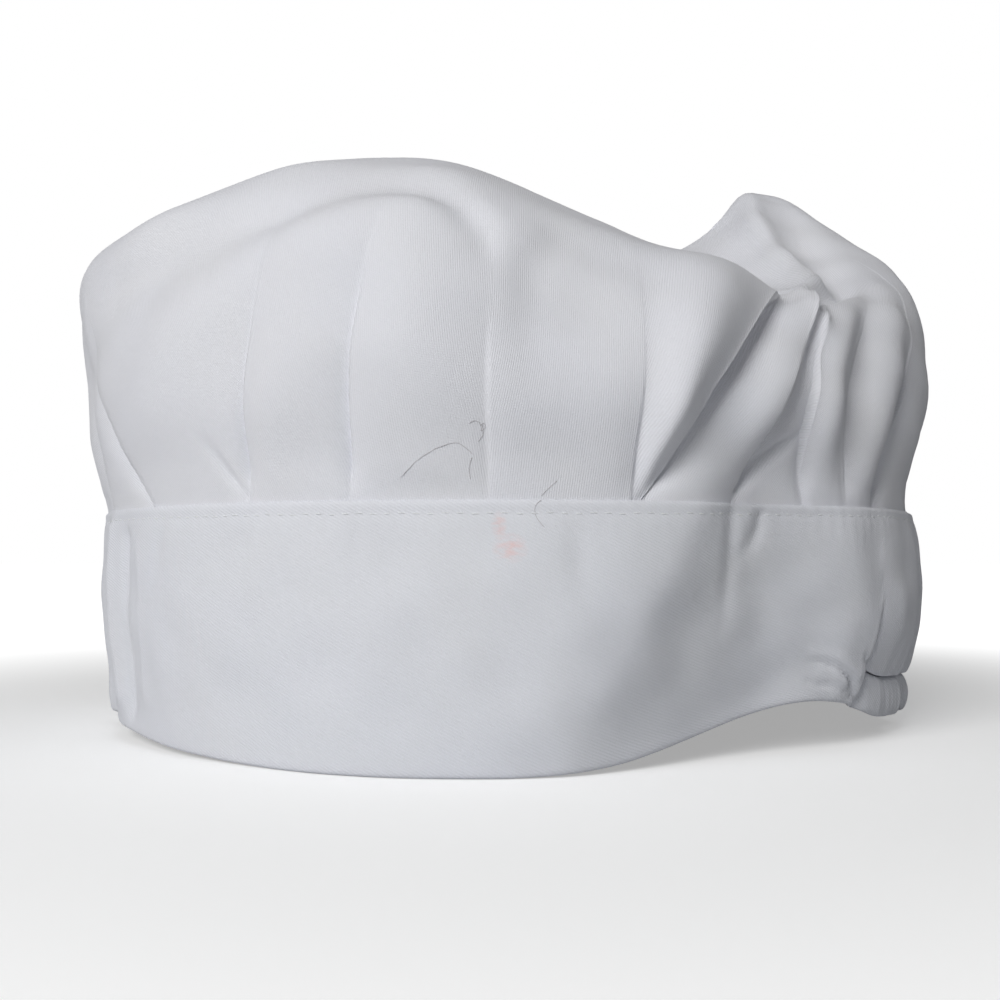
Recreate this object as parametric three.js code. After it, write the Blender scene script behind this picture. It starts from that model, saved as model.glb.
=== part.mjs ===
// A low chef hat of white twill: a narrow band, a floppy crown tucked into it, and an
// elastic casing that gathers the back of the band. Millimetres, +Z up, front towards -Y.
// Azimuths are in degrees from the front, positive towards the wearer's left (+X).
import * as THREE from "three";

// Driving sizes
const HALF_WIDTH = 104; // half the width of the head opening
const FRONT_DEPTH = 100; // from its widest line to the front
const BACK_DEPTH = 46; // from its widest line to the back, which the elastic flattens
const BAND_HEIGHT = 51; // a two inch band
const BAND_WALL = 1.5; // two layers of cloth and the allowance between them
const CROWN_WALL = 1.5; // cloth, as a printable wall
const GAP = 0.3; // air between pieces
const HEM_DEPTH = 7; // how far the crown reaches down behind the band
const CROWN_TOP = 113; // height of the sunken middle of the crown
const CASING_HEIGHT = 9; // tunnel for 6 mm elastic
const CASING_HALF_THICKNESS = 2.2; // half of the puffed tunnel's thickness
const CASING_START = 51; // azimuth where the elastic begins, at the front view's right
const CASING_END = 286; // azimuth where it ends, just behind the left edge
const RIPPLE_COUNT = 24; // gathers that the elastic makes
const RIPPLE_LOW = 1.3; // their height at the rim
const RIPPLE_HIGH = 0.35; // their height at the top of the band
const GATHER_FADE = 12; // degrees over which they fade out past the elastic's ends
const EDGE_STEP = 0.7; // degrees within which the band's edge steps up over the casing
const BAND_BOW = 1.2; // how far the band swells between rim and seam
const RIM_TUCK = 2.2; // how far its rim is drawn in
const BACK_TUCK_COUNT = 14; // tucks round the back, set by a loop
const CROWN_COLOR = 0xdfe2e8;
const BAND_COLOR = 0xdcdfe6;
const CASING_COLOR = 0xd6d9e0;
const ROUGHNESS = 0.9;

// Rows of numbers become records with named columns
function table(columns, rows) {
  return rows.map((row) => Object.fromEntries(columns.map((name, k) => [name, row[k]])));
}

// Crown profile at each azimuth. bulge, shoulder and crest are fractions of the opening,
// and bulgeZ, shoulderZ and crestZ are their heights.
const SECTIONS = table(
  ["azimuth", "bulge", "bulgeZ", "shoulder", "shoulderZ", "crest", "crestZ"],
  [
    [-180, 1.29, 84, 1.26, 103, 0.82, 124],
    [-150, 1.22, 83, 1.2, 103, 0.84, 120],
    [-120, 1.1, 83, 1.1, 104, 0.88, 116],
    [-95, 1.035, 84, 1.055, 108, 0.93, 115],
    [-75, 1.03, 84, 1.065, 109, 0.96, 117],
    [-60, 1.03, 82, 1.035, 108, 0.9, 121],
    [-45, 1.03, 82, 0.99, 109, 0.79, 126.5],
    [-30, 1.025, 82, 0.955, 112, 0.63, 131.5],
    [-15, 1.025, 82, 0.93, 113, 0.54, 131.5],
    [0, 1.025, 81, 0.92, 109, 0.54, 126],
    [15, 1.02, 80, 0.9, 103, 0.56, 118],
    [30, 1.01, 77, 0.9, 97, 0.61, 109],
    [45, 1.01, 76, 0.93, 95, 0.69, 103],
    [60, 1.015, 80, 0.96, 99, 0.78, 104.5],
    [75, 1.015, 82, 0.99, 111, 0.72, 120],
    [83, 1.025, 83, 0.95, 119, 0.69, 129],
    [91, 1.035, 84, 0.87, 128, 0.68, 137.5],
    [100, 1.045, 84, 0.84, 131, 0.68, 142.5],
    [112, 1.09, 84, 0.93, 129, 0.73, 141],
    [127, 1.16, 84, 1.04, 122, 0.76, 136],
    [150, 1.25, 84, 1.17, 109, 0.78, 130],
    [180, 1.29, 84, 1.26, 103, 0.82, 124],
  ],
);

// Places on the profile, as fractions of the way from the seam to the middle of the top
const LOW_T = 0.08;
const BULGE_T = 0.3;
const SHOULDER_T = 0.48;
const CREST_T = 0.66;
const INNER_T = 0.82;
const LOW_SHARE = 0.3; // of the bulge that is reached just above the seam
const LOW_RISE = 0.22; // of its height
const INNER_REACH = 0.36; // fraction of the opening, on the way in to the middle
const INNER_RISE = 5; // height there over the middle
const INNER_TILT = 2.5; // how much higher it is on the side of the tall peak
const INNER_SADDLE = 5; // how much higher it is towards both high sides than between them
const PEAK_AZIMUTH = 120;
const SADDLE_AZIMUTH = 128;

// Tucks of the crown that show from the front. base, mid and top are the azimuths of the
// crease at the seam, at MID_T and at TOP_T. crease is its depth and tip where it ends.
// left, middle and right are the swell of the panel that follows it, which ends at fade.
const FRONT_TUCKS = table(
  ["base", "mid", "top", "crease", "tip", "left", "middle", "right", "fade"],
  [
    [-62, -74, -84, 2.5, 0.4, 1.0, 1.5, 2.0, 0.55],
    [-46.5, -61, -70, 4.0, 0.42, 2.0, 3.0, 1.0, 0.55],
    [-28.5, -25.5, -24, 3.5, 0.36, 1.5, 2.5, 0.5, 0.5],
    [-16.2, -14, -11, 3.5, 0.46, 3.0, 5.0, 4.0, 0.56],
    [-1.5, -1.2, -1, 3.5, 0.44, 3.5, 0.5, 0.5, 0.56],
    [13.2, 14.5, 16, 3.0, 0.32, 1.0, 6.5, 3.0, 0.72],
    [15.6, 29.5, 50, 6.0, 0.6, -6.0, -1.0, 4.5, 0.62],
    [25.8, 34.5, 54, 4.0, 0.45, -3.0, 0.0, 2.0, 0.6],
    [35.3, 37.5, 58, 4.0, 0.6, 4.5, 2.0, -1.0, 0.62],
    [42.5, 45.5, 62, 1.5, 0.55, -2.0, 4.0, 2.0, 0.62],
    [54.0, 69.0, 76, 4.5, 0.45, 2.0, 4.0, 2.0, 0.6],
    [71.0, 80.0, 85, 4.0, 0.45, 2.0, 4.0, 2.0, 0.6],
  ],
);
const MID_T = 0.34;
const TOP_T = 0.62;
const SWELL_FULL_T = 0.16; // where a swell has its full height
const SWELL_KEPT = 0.5; // share of its length before it fades
const CREASE_WIDTH = 2; // half width of a crease at the seam
const CREASE_SPREAD = 14; // how much wider it would be at the middle of the top
const CREASE_KEPT = 0.35; // share of its length before it fades
const CREASE_AT_SEAM = 0.4; // share of its depth at the seam

// Soft pushes in and out of the crown: place, half widths, and millimetres outwards
const DENTS = table(
  ["azimuth", "t", "wide", "high", "push"],
  [
    [-46, 0.42, 12, 0.07, -2.5],
    [-30, 0.49, 9, 0.06, -4.0],
    [-16, 0.54, 9, 0.06, -5.0],
    [-5, 0.47, 4, 0.08, -3.5],
    [7, 0.34, 7, 0.14, -3.5],
    [-10, 0.38, 5, 0.12, 2.0],
  ],
);

// The same for the band, where v runs from the rim, 0, to the seam, 1
const BAND_DENTS = table(
  ["azimuth", "v", "wide", "high", "push"],
  [
    [27, 0.6, 8.5, 0.75, -5.0],
    [13, 0.1, 10, 0.55, 1.5],
    [44, 0.5, 9, 0.6, 2.0],
    [-4, 0.65, 16, 0.5, -1.0],
    [-58, 0.4, 4, 0.65, 1.0],
    [-66, 0.4, 3.5, 0.65, -1.2],
  ],
);

// How far the rim is lifted off the surface at each azimuth
const RIM = table(
  ["azimuth", "lift"],
  [
    [-180, 0],
    [-120, 0],
    [-85, 2.5],
    [-62, 3],
    [-42, 1],
    [-25, 0],
    [0, 0],
    [12, 1.2],
    [22, 4.5],
    [31, 8],
    [40, 10.5],
    [47, 9.5],
    [55, 5.5],
    [64, 4.2],
    [82, 2.5],
    [115, 0],
    [180, 0],
  ],
);

// Section of the casing, as fractions of its half thickness and of its height
const CASING_OUTLINE = table(
  ["away", "height"],
  [
    [0.5, 0],
    [1, 0.3],
    [1, 0.7],
    [0.5, 1],
    [-0.5, 1],
    [-1, 0.7],
    [-1, 0.3],
    [-0.5, 0],
  ],
);

// Grid lines
const CROWN_ROWS = [0, 0.03, 0.08, 0.15, 0.22, 0.3, 0.38, 0.46, 0.53, 0.6, 0.67, 0.76, 0.85, 0.93];
const PANEL_COLUMNS = [0, 0.14, 0.5, 0.86]; // places across a panel, close to its creases
const WIDE_COLUMNS = [0, 0.1, 0.3, 0.5, 0.7, 0.9];
const WIDE_PANEL = 22; // degrees, past which a panel is a wide one
const BAND_ROWS = [0, 0.22, 0.5, 0.78, 1];
const FRONT_BAND_STEP = 4; // degrees
const STEPS_PER_RIPPLE = 4;

const radians = THREE.MathUtils.degToRad;

// Degrees brought between -180 and 180
function wrapped(degrees) {
  return THREE.MathUtils.euclideanModulo(degrees + 180, 360) - 180;
}

// 0 below 0, 1 above 1, and an S-shaped rise between
function eased(x) {
  return THREE.MathUtils.smoothstep(x, 0, 1);
}

// Cubic from a to b over a step, with a slope at each end
function cubic(q, step, a, b, slopeA, slopeB) {
  const q2 = q * q;
  const q3 = q2 * q;
  const fromA = (2 * q3 - 3 * q2 + 1) * a + (q3 - 2 * q2 + q) * step * slopeA;
  const fromB = (3 * q2 - 2 * q3) * b + (q3 - q2) * step * slopeB;
  return fromA + fromB;
}

// Smooth closed curve through one column of a table whose azimuths run from -180 to 180
function around(rows, column, degrees) {
  const at = wrapped(degrees);
  const last = rows.length - 1;
  let k = 0;
  while (k < last - 1 && rows[k + 1].azimuth <= at) k += 1;
  const pick = (j) => {
    if (j < 0) return { x: rows[last - 1].azimuth - 360, y: rows[last - 1][column] };
    if (j > last) return { x: rows[1].azimuth + 360, y: rows[1][column] };
    return { x: rows[j].azimuth, y: rows[j][column] };
  };
  const [before, a, b, after] = [k - 1, k, k + 1, k + 2].map(pick);
  const step = b.x - a.x;
  const slopeA = (b.y - before.y) / (b.x - before.x);
  const slopeB = (after.y - a.y) / (after.x - a.x);
  return cubic((at - a.x) / step, step, a.y, b.y, slopeA, slopeB);
}

// Smooth curve through a few stations, whose last one only steers the slope before it
function through(stations, t) {
  let k = 0;
  while (k < stations.length - 3 && stations[k + 1][0] <= t) k += 1;
  const [a, b, after] = [stations[k], stations[k + 1], stations[k + 2]];
  const step = b[0] - a[0];
  const before = k > 0 ? stations[k - 1] : a;
  const slopeA = (b[1] - before[1]) / (b[0] - before[0]);
  const slopeB = (after[1] - a[1]) / (after[0] - a[0]);
  return cubic((t - a[0]) / step, step, a[1], b[1], slopeA, slopeB);
}

// Sum of soft pushes at a place
function pushAt(dents, degrees, height, column) {
  let sum = 0;
  for (const dent of dents) {
    const side = wrapped(degrees - dent.azimuth) / dent.wide;
    const rise = (height - dent[column]) / dent.high;
    sum += dent.push * Math.exp(-side * side - rise * rise);
  }
  return sum;
}

// Point of the head opening, and the direction straight out of it
function opening(degrees) {
  const angle = radians(degrees);
  const depth = Math.cos(angle) > 0 ? FRONT_DEPTH : BACK_DEPTH;
  const point = new THREE.Vector2(HALF_WIDTH * Math.sin(angle), -depth * Math.cos(angle));
  const out = new THREE.Vector2(Math.sin(angle) / HALF_WIDTH, -Math.cos(angle) / depth);
  return { point, out: out.normalize() };
}

// The band

// 1 where the elastic gathers the cloth, falling to 0 in front of its ends
function gathered(degrees) {
  const turned = THREE.MathUtils.euclideanModulo(degrees, 360);
  const begins = eased((turned - CASING_START + GATHER_FADE) / GATHER_FADE);
  return begins * eased((CASING_END + GATHER_FADE - turned) / GATHER_FADE);
}

// Height of one gather, which is lower towards the seam
function ripple(degrees, v) {
  const turned = THREE.MathUtils.euclideanModulo(degrees, 360);
  const share = (turned - CASING_START) / (CASING_END - CASING_START);
  const height = THREE.MathUtils.lerp(RIPPLE_LOW, RIPPLE_HIGH, v);
  return gathered(degrees) * height * Math.sin(2 * Math.PI * RIPPLE_COUNT * share);
}

// How far the band's outer face stands out from the opening at a place, without its gathers
function plainBandOut(degrees, v) {
  const bow = BAND_BOW * (1 + Math.sin(radians(degrees)));
  const swell = bow * Math.sin(Math.PI * v) - RIM_TUCK * (1 - v) * (1 - v);
  return swell + pushAt(BAND_DENTS, degrees, v, "v");
}

function bandOut(degrees, v) {
  return plainBandOut(degrees, v) + ripple(degrees, v);
}

// 1 over the casing and 0 elsewhere
function overCasing(degrees) {
  const turned = THREE.MathUtils.euclideanModulo(degrees, 360);
  const begins = eased((turned - CASING_START + EDGE_STEP) / EDGE_STEP);
  return begins * eased((CASING_END + EDGE_STEP - turned) / EDGE_STEP);
}

function rimZ(degrees) {
  return Math.max(0, around(RIM, "lift", degrees));
}

function bandPoint(degrees, v, inwards) {
  const { point, out } = opening(degrees);
  const low = rimZ(degrees) + overCasing(degrees) * (CASING_HEIGHT + GAP);
  const away = bandOut(degrees, v) - inwards;
  const z = THREE.MathUtils.lerp(low, BAND_HEIGHT, v);
  return new THREE.Vector3(point.x + out.x * away, point.y + out.y * away, z);
}

// The crown

// Tucks that the view does not reach: evenly set, each a little different
function backTucks() {
  const first = 88;
  const last = 284;
  const rows = [];
  for (let k = 0; k < BACK_TUCK_COUNT; k += 1) {
    const even = THREE.MathUtils.lerp(first, last, k / (BACK_TUCK_COUNT - 1));
    const wave = Math.sin(2.4 * k);
    const lean = Math.sin(1.7 * k + 1);
    rows.push({
      base: even + 1.5 * wave,
      mid: even + 3 * lean,
      top: even + 4 * lean,
      crease: 4.5 + wave,
      tip: 0.46 + 0.08 * Math.sin(3.1 * k),
      left: 2.5,
      middle: 4 + 1.5 * wave,
      right: 1,
      fade: 0.64,
    });
  }
  return rows;
}

// A tuck moved on by some degrees
function turned(row, degrees) {
  return { ...row, base: row.base + degrees, mid: row.mid + degrees, top: row.top + degrees };
}

// Every tuck in order round the hat, starting behind the left side
function allTucks() {
  const rows = [...FRONT_TUCKS, ...backTucks()].map((row) => turned(row, row.base > 180 ? -360 : 0));
  return rows.sort((a, b) => a.base - b.base);
}

const TUCKS = allTucks();

// A tuck by number, where the one past the last is the first again, a turn further on
function tuck(k) {
  return k < TUCKS.length ? TUCKS[k] : turned(TUCKS[0], 360);
}

// Azimuth of a crease at a height: a parabola through its base, mid and top, then straight in
function creaseAzimuth(row, k, t) {
  const q = Math.min(t, TOP_T);
  const atBase = ((q - MID_T) * (q - TOP_T)) / (MID_T * TOP_T);
  const atMid = (q * (q - TOP_T)) / (MID_T * (MID_T - TOP_T));
  const atTop = (q * (q - MID_T)) / (TOP_T * (TOP_T - MID_T));
  const leaning = atBase * row.base + atMid * row.mid + atTop * row.top;
  const even = TUCKS[0].base + (k * 360) / TUCKS.length;
  return THREE.MathUtils.lerp(leaning, even, eased((t - TOP_T) / (1 - TOP_T)));
}

// The crown without its folds
function smoothCrown(degrees, t) {
  const at = (column) => around(SECTIONS, column, degrees);
  const [bulge, shoulder, crest] = [at("bulge"), at("shoulder"), at("crest")];
  const [bulgeZ, shoulderZ, crestZ] = [at("bulgeZ"), at("shoulderZ"), at("crestZ")];
  const seamZ = BAND_HEIGHT + GAP;
  const tilt = INNER_TILT * Math.cos(radians(degrees - PEAK_AZIMUTH));
  const saddle = INNER_SADDLE * Math.cos(2 * radians(degrees - SADDLE_AZIMUTH));
  const innerZ = CROWN_TOP + INNER_RISE + tilt + saddle;
  const past = 2 - INNER_T;
  const reach = through(
    [
      [0, 1],
      [LOW_T, 1 + LOW_SHARE * (bulge - 1)],
      [BULGE_T, bulge],
      [SHOULDER_T, shoulder],
      [CREST_T, crest],
      [INNER_T, INNER_REACH],
      [1, 0],
      [past, -INNER_REACH],
    ],
    t,
  );
  const z = through(
    [
      [0, seamZ],
      [LOW_T, seamZ + LOW_RISE * (bulgeZ - seamZ)],
      [BULGE_T, bulgeZ],
      [SHOULDER_T, shoulderZ],
      [CREST_T, crestZ],
      [INNER_T, innerZ],
      [1, CROWN_TOP],
      [past, innerZ],
    ],
    t,
  );
  const { point, out } = opening(degrees);
  const seam = plainBandOut(degrees, 1) - gathered(degrees) * RIPPLE_HIGH - BAND_WALL - GAP;
  const away = seam * (1 - eased(t / BULGE_T));
  return new THREE.Vector3(point.x * reach + out.x * away, point.y * reach + out.y * away, z);
}

// Direction straight out of the smooth crown, from points a small step to each side
function crownOut(degrees, t) {
  const turn = 0.3;
  const climb = 0.01;
  const along = smoothCrown(degrees + turn, t).sub(smoothCrown(degrees - turn, t));
  const above = smoothCrown(degrees, Math.min(t + climb, 1));
  const below = smoothCrown(degrees, Math.max(t - climb, 0));
  return along.cross(above.sub(below)).normalize();
}

// How far the folded cloth stands out of the smooth crown
function foldHeight(left, right, across, widthMm, t) {
  const fade = THREE.MathUtils.lerp(left.fade, right.fade, across);
  const fading = eased((t - SWELL_KEPT * fade) / ((1 - SWELL_KEPT) * fade));
  const envelope = eased(t / SWELL_FULL_T) * (1 - fading);
  const swell =
    left.left * (1 - across) * (1 - 2 * across) +
    left.middle * 4 * across * (1 - across) +
    left.right * across * (2 * across - 1);
  let height = swell * envelope;
  const softness = CREASE_WIDTH + CREASE_SPREAD * t;
  const deepening = THREE.MathUtils.lerp(CREASE_AT_SEAM, 1, eased(t / LOW_T));
  for (const [row, distance] of [[left, across * widthMm], [right, (1 - across) * widthMm]]) {
    const ending = eased((t - CREASE_KEPT * row.tip) / ((1 - CREASE_KEPT) * row.tip));
    height -= row.crease * deepening * (1 - ending) * Math.exp(-distance / softness);
  }
  return height;
}

// One point of the crown's outer face and the one across the wall from it
function crownPair(panel, across, t) {
  const [left, right] = [tuck(panel), tuck(panel + 1)];
  const [from, to] = [creaseAzimuth(left, panel, t), creaseAzimuth(right, panel + 1, t)];
  const degrees = THREE.MathUtils.lerp(from, to, across);
  const widthMm = radians(to - from) * FRONT_DEPTH;
  const height = foldHeight(left, right, across, widthMm, t) + pushAt(DENTS, degrees, t, "t");
  const out = crownOut(degrees, t);
  const outer = smoothCrown(degrees, t).addScaledVector(out, height);
  const inner = outer.clone().addScaledVector(out, -CROWN_WALL);
  return { outer, inner };
}

// Panel number and place across it for each column of the crown
function crownColumns() {
  const columns = [];
  for (let k = 0; k < TUCKS.length; k += 1) {
    const width = Math.max(tuck(k + 1).mid - tuck(k).mid, tuck(k + 1).top - tuck(k).top);
    const places = width > WIDE_PANEL ? WIDE_COLUMNS : PANEL_COLUMNS;
    for (const across of places) columns.push({ panel: k, across });
  }
  return columns;
}

// Meshes

function meshFrom(name, points, triangles, color) {
  const geometry = new THREE.BufferGeometry();
  const positions = points.flatMap((p) => [p.x, p.y, p.z]);
  geometry.setAttribute("position", new THREE.Float32BufferAttribute(positions, 3));
  geometry.setIndex(triangles.flat());
  geometry.computeVertexNormals();
  const material = new THREE.MeshStandardMaterial({ color, roughness: ROUGHNESS, metalness: 0 });
  const mesh = new THREE.Mesh(geometry, material);
  mesh.name = name;
  return mesh;
}

// Two triangles for the four corners a, b, c, d, seen anticlockwise from outside
function quad(a, b, c, d) {
  return [[a, b, c], [a, c, d]];
}

// The crown: an outer and an inner face from hem to top, joined round the hem
function buildCrown() {
  const columns = crownColumns();
  const count = columns.length;
  const outerRows = [];
  const innerRows = [];
  for (const t of CROWN_ROWS) {
    const pairs = columns.map(({ panel, across }) => crownPair(panel, across, t));
    outerRows.push(pairs.map((pair) => pair.outer));
    innerRows.push(pairs.map((pair) => pair.inner));
  }
  const down = new THREE.Vector3(0, 0, -HEM_DEPTH);
  outerRows.unshift(outerRows[0].map((p) => p.clone().add(down)));
  innerRows.unshift(innerRows[0].map((p) => p.clone().add(down).setZ(outerRows[0][0].z)));
  const rows = outerRows.length;
  const points = [...outerRows.flat(), ...innerRows.flat()];
  const outerTop = points.push(new THREE.Vector3(0, 0, CROWN_TOP)) - 1;
  const innerTop = points.push(new THREE.Vector3(0, 0, CROWN_TOP - CROWN_WALL)) - 1;
  const outer = (row, k) => row * count + (k % count);
  const inner = (row, k) => rows * count + outer(row, k);
  const triangles = [];
  for (let k = 0; k < count; k += 1) {
    for (let row = 0; row < rows - 1; row += 1) {
      const above = row + 1;
      triangles.push(...quad(outer(row, k), outer(row, k + 1), outer(above, k + 1), outer(above, k)));
      triangles.push(...quad(inner(row, k + 1), inner(row, k), inner(above, k), inner(above, k + 1)));
    }
    triangles.push([outer(rows - 1, k), outer(rows - 1, k + 1), outerTop]);
    triangles.push([inner(rows - 1, k + 1), inner(rows - 1, k), innerTop]);
    triangles.push(...quad(inner(0, k), inner(0, k + 1), outer(0, k + 1), outer(0, k)));
  }
  return meshFrom("crown", points, triangles, CROWN_COLOR);
}

// A closed section carried along a list of azimuths, round the whole hat or with two ends
function sweep(name, azimuths, sectionAt, closed, color) {
  const sections = azimuths.map(sectionAt);
  const size = sections[0].length;
  const points = sections.flat();
  const triangles = [];
  const steps = closed ? sections.length : sections.length - 1;
  const index = (k, j) => (k % sections.length) * size + (j % size);
  for (let k = 0; k < steps; k += 1) {
    for (let j = 0; j < size; j += 1) {
      triangles.push(...quad(index(k, j), index(k + 1, j), index(k + 1, j + 1), index(k, j + 1)));
    }
  }
  if (!closed) {
    for (let j = 1; j < size - 1; j += 1) {
      triangles.push([index(0, 0), index(0, j), index(0, j + 1)]);
      triangles.push([index(steps, 0), index(steps, j + 1), index(steps, j)]);
    }
  }
  return meshFrom(name, points, triangles, color);
}

// Azimuths from one to another in even steps, both ends included
function evenly(from, to, steps) {
  return Array.from({ length: steps + 1 }, (_, k) => THREE.MathUtils.lerp(from, to, k / steps));
}

// Azimuths of the casing's sections, a few for each gather
function casingAzimuths() {
  return evenly(CASING_START, CASING_END, RIPPLE_COUNT * STEPS_PER_RIPPLE);
}

// Azimuths of the band's sections: the casing's behind, and wider steps in front
function bandAzimuths() {
  const first = CASING_END + EDGE_STEP;
  const last = 360 + CASING_START - EDGE_STEP;
  const steps = Math.round((last - first) / FRONT_BAND_STEP);
  return [...casingAzimuths(), ...evenly(first, last, steps)];
}

function buildBand() {
  const section = (degrees) => [
    ...BAND_ROWS.map((v) => bandPoint(degrees, v, 0)),
    ...[...BAND_ROWS].reverse().map((v) => bandPoint(degrees, v, BAND_WALL)),
  ];
  return sweep("band", bandAzimuths(), section, true, BAND_COLOR);
}

// The casing: a puffed tunnel under the band's edge, flat where it rests
function buildCasing() {
  const section = (degrees) => {
    const { point, out } = opening(degrees);
    const middle = bandOut(degrees, 0) - BAND_WALL / 2;
    return CASING_OUTLINE.map(({ away, height }) => {
      const reach = middle + away * CASING_HALF_THICKNESS;
      const z = rimZ(degrees) + height * CASING_HEIGHT;
      return new THREE.Vector3(point.x + out.x * reach, point.y + out.y * reach, z);
    });
  };
  return sweep("elastic_casing", casingAzimuths(), section, false, CASING_COLOR);
}

// The hat, moved so that the origin lies under the middle of its outline
const group = new THREE.Group();
group.add(buildCrown(), buildBand(), buildCasing());
const box = new THREE.Box3().setFromObject(group);
const centre = box.getCenter(new THREE.Vector3());
group.position.set(-centre.x, -centre.y, -box.min.z);

export default group;
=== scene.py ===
"""A low white chef hat of cotton twill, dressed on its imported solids.

The hat has three sub-assemblies: the band, a strip of cloth folded double at the rim and
topstitched along its upper edge; the crown, a circle of cloth that is gathered into the band in
tucks and lies in soft folds; and the casing, a gathered tunnel that holds the elastic along the
back of the rim. Lengths are millimetres, counted from the middle of the head opening, until a
mesh is made in metres. Azimuths are degrees from the front of the hat, positive towards the
wearer's left (+X). The shapes follow the formulas of the solids, with finer folds over them.
"""

import logging
import math
from dataclasses import dataclass, field
from enum import Enum

import bpy
import numpy as np
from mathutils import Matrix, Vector

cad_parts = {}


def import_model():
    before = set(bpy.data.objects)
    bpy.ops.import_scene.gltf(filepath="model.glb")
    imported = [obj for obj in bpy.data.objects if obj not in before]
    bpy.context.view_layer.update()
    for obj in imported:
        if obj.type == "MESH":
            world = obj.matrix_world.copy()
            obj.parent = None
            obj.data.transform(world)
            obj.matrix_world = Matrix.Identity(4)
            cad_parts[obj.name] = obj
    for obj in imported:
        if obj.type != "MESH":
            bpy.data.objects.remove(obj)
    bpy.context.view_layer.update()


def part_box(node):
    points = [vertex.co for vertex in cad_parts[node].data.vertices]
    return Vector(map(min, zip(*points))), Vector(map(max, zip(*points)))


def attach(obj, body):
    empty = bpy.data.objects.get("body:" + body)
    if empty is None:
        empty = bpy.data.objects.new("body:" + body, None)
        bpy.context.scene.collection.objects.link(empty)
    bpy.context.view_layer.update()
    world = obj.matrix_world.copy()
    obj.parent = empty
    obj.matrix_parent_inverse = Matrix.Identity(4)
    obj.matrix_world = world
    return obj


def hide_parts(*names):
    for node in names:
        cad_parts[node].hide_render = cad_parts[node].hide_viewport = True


Array = np.ndarray
LOG = logging.getLogger("chef_hat")
METRES = 0.001
PHOTO_PIXELS = 1000
FULL_TURN = 360.0
TINY = 1e-9
WHITE = (1.0, 1.0, 1.0, 1.0)
STRIP_TINT = (0.78, 0.8, 0.862)
STRIP_RIB_ANGLE = -63.0


# Numbers and curves


def eased(x: Array) -> Array:
    """Return an S-shaped rise from 0 to 1: three x squared less two x cubed, held outside."""
    x = np.clip(x, 0.0, 1.0)
    return x * x * (3.0 - 2.0 * x)


def wrapped(azimuth: Array) -> Array:
    """Return degrees brought between -180 and 180."""
    return np.mod(azimuth + FULL_TURN / 2, FULL_TURN) - FULL_TURN / 2


def turned(azimuth: Array) -> Array:
    """Return degrees brought between 0 and 360."""
    return np.mod(azimuth, FULL_TURN)


def mixed(a: Array, b: Array, share: Array) -> Array:
    """Return a where share is 0, b where it is 1, and a straight mix between."""
    return a + (b - a) * share


def unit(vectors: Array) -> Array:
    """Return the vectors of the last axis at length one."""
    return vectors / np.maximum(np.linalg.norm(vectors, axis=-1, keepdims=True), TINY)


def raised(flat: Array, z: Array) -> Array:
    """Return pairs as points at a height."""
    return np.concatenate([flat, z[..., None]], axis=-1)


def cubic(share: Array, step: Array, ends: tuple[Array, Array], slopes: tuple[Array, Array]) -> Array:
    """Return a cubic between two values with a given slope at each.

    Args:
        share: Place in the step, from 0 to 1.
        step: Length of the step.
        ends: Values at its two ends.
        slopes: Slopes at its two ends.

    Returns:
        The Hermite cubic: each end's value and slope times its usual weight.
    """
    q2 = share * share
    q3 = q2 * share
    start = (2 * q3 - 3 * q2 + 1) * ends[0] + (q3 - 2 * q2 + share) * step * slopes[0]
    finish = (3 * q2 - 2 * q3) * ends[1] + (q3 - q2) * step * slopes[1]
    return start + finish


@dataclass(frozen=True)
class Drift:
    """A sine wave whose phase wanders, so that no two of its turns are alike."""

    height: float
    pace: float
    swing: float
    swing_pace: float

    def at(self, x: Array, lead: Array | float = 0.0) -> Array:
        """Return the height times the sine of pace times x, the wandering and the lead."""
        return self.height * np.sin(self.pace * x + self.swing * np.sin(self.swing_pace * x) + lead)


class Table:
    """Rows of numbers with named columns."""

    def __init__(self, columns: str, rows: list[list[float]]) -> None:
        """Keep the rows.

        Args:
            columns: Names of the columns, with spaces between.
            rows: One list of numbers a row.
        """
        self.columns = columns.split()
        self.rows = np.array(rows, dtype=float)

    def __getitem__(self, column: str) -> Array:
        """Return one column."""
        return self.rows[:, self.columns.index(column)]

    def around(self, column: str, azimuth: Array) -> Array:
        """Return a smooth closed curve through one column, over rows from -180 to 180 degrees.

        Args:
            column: Name of the column.
            azimuth: Where the curve is read, in degrees.

        Returns:
            The cubic between neighbouring rows whose slopes come from the rows beside them.
        """
        knots = self["azimuth"]
        values = self[column]
        wide_knots = np.concatenate([[knots[-2] - FULL_TURN], knots, [knots[1] + FULL_TURN]])
        wide_values = np.concatenate([[values[-2]], values, [values[1]]])
        slopes = (wide_values[2:] - wide_values[:-2]) / (wide_knots[2:] - wide_knots[:-2])
        at = wrapped(azimuth)
        k = np.clip(np.searchsorted(knots, at, side="right") - 1, 0, len(knots) - 2)
        step = knots[k + 1] - knots[k]
        share = (at - knots[k]) / step
        return cubic(share, step, (values[k], values[k + 1]), (slopes[k], slopes[k + 1]))


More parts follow.
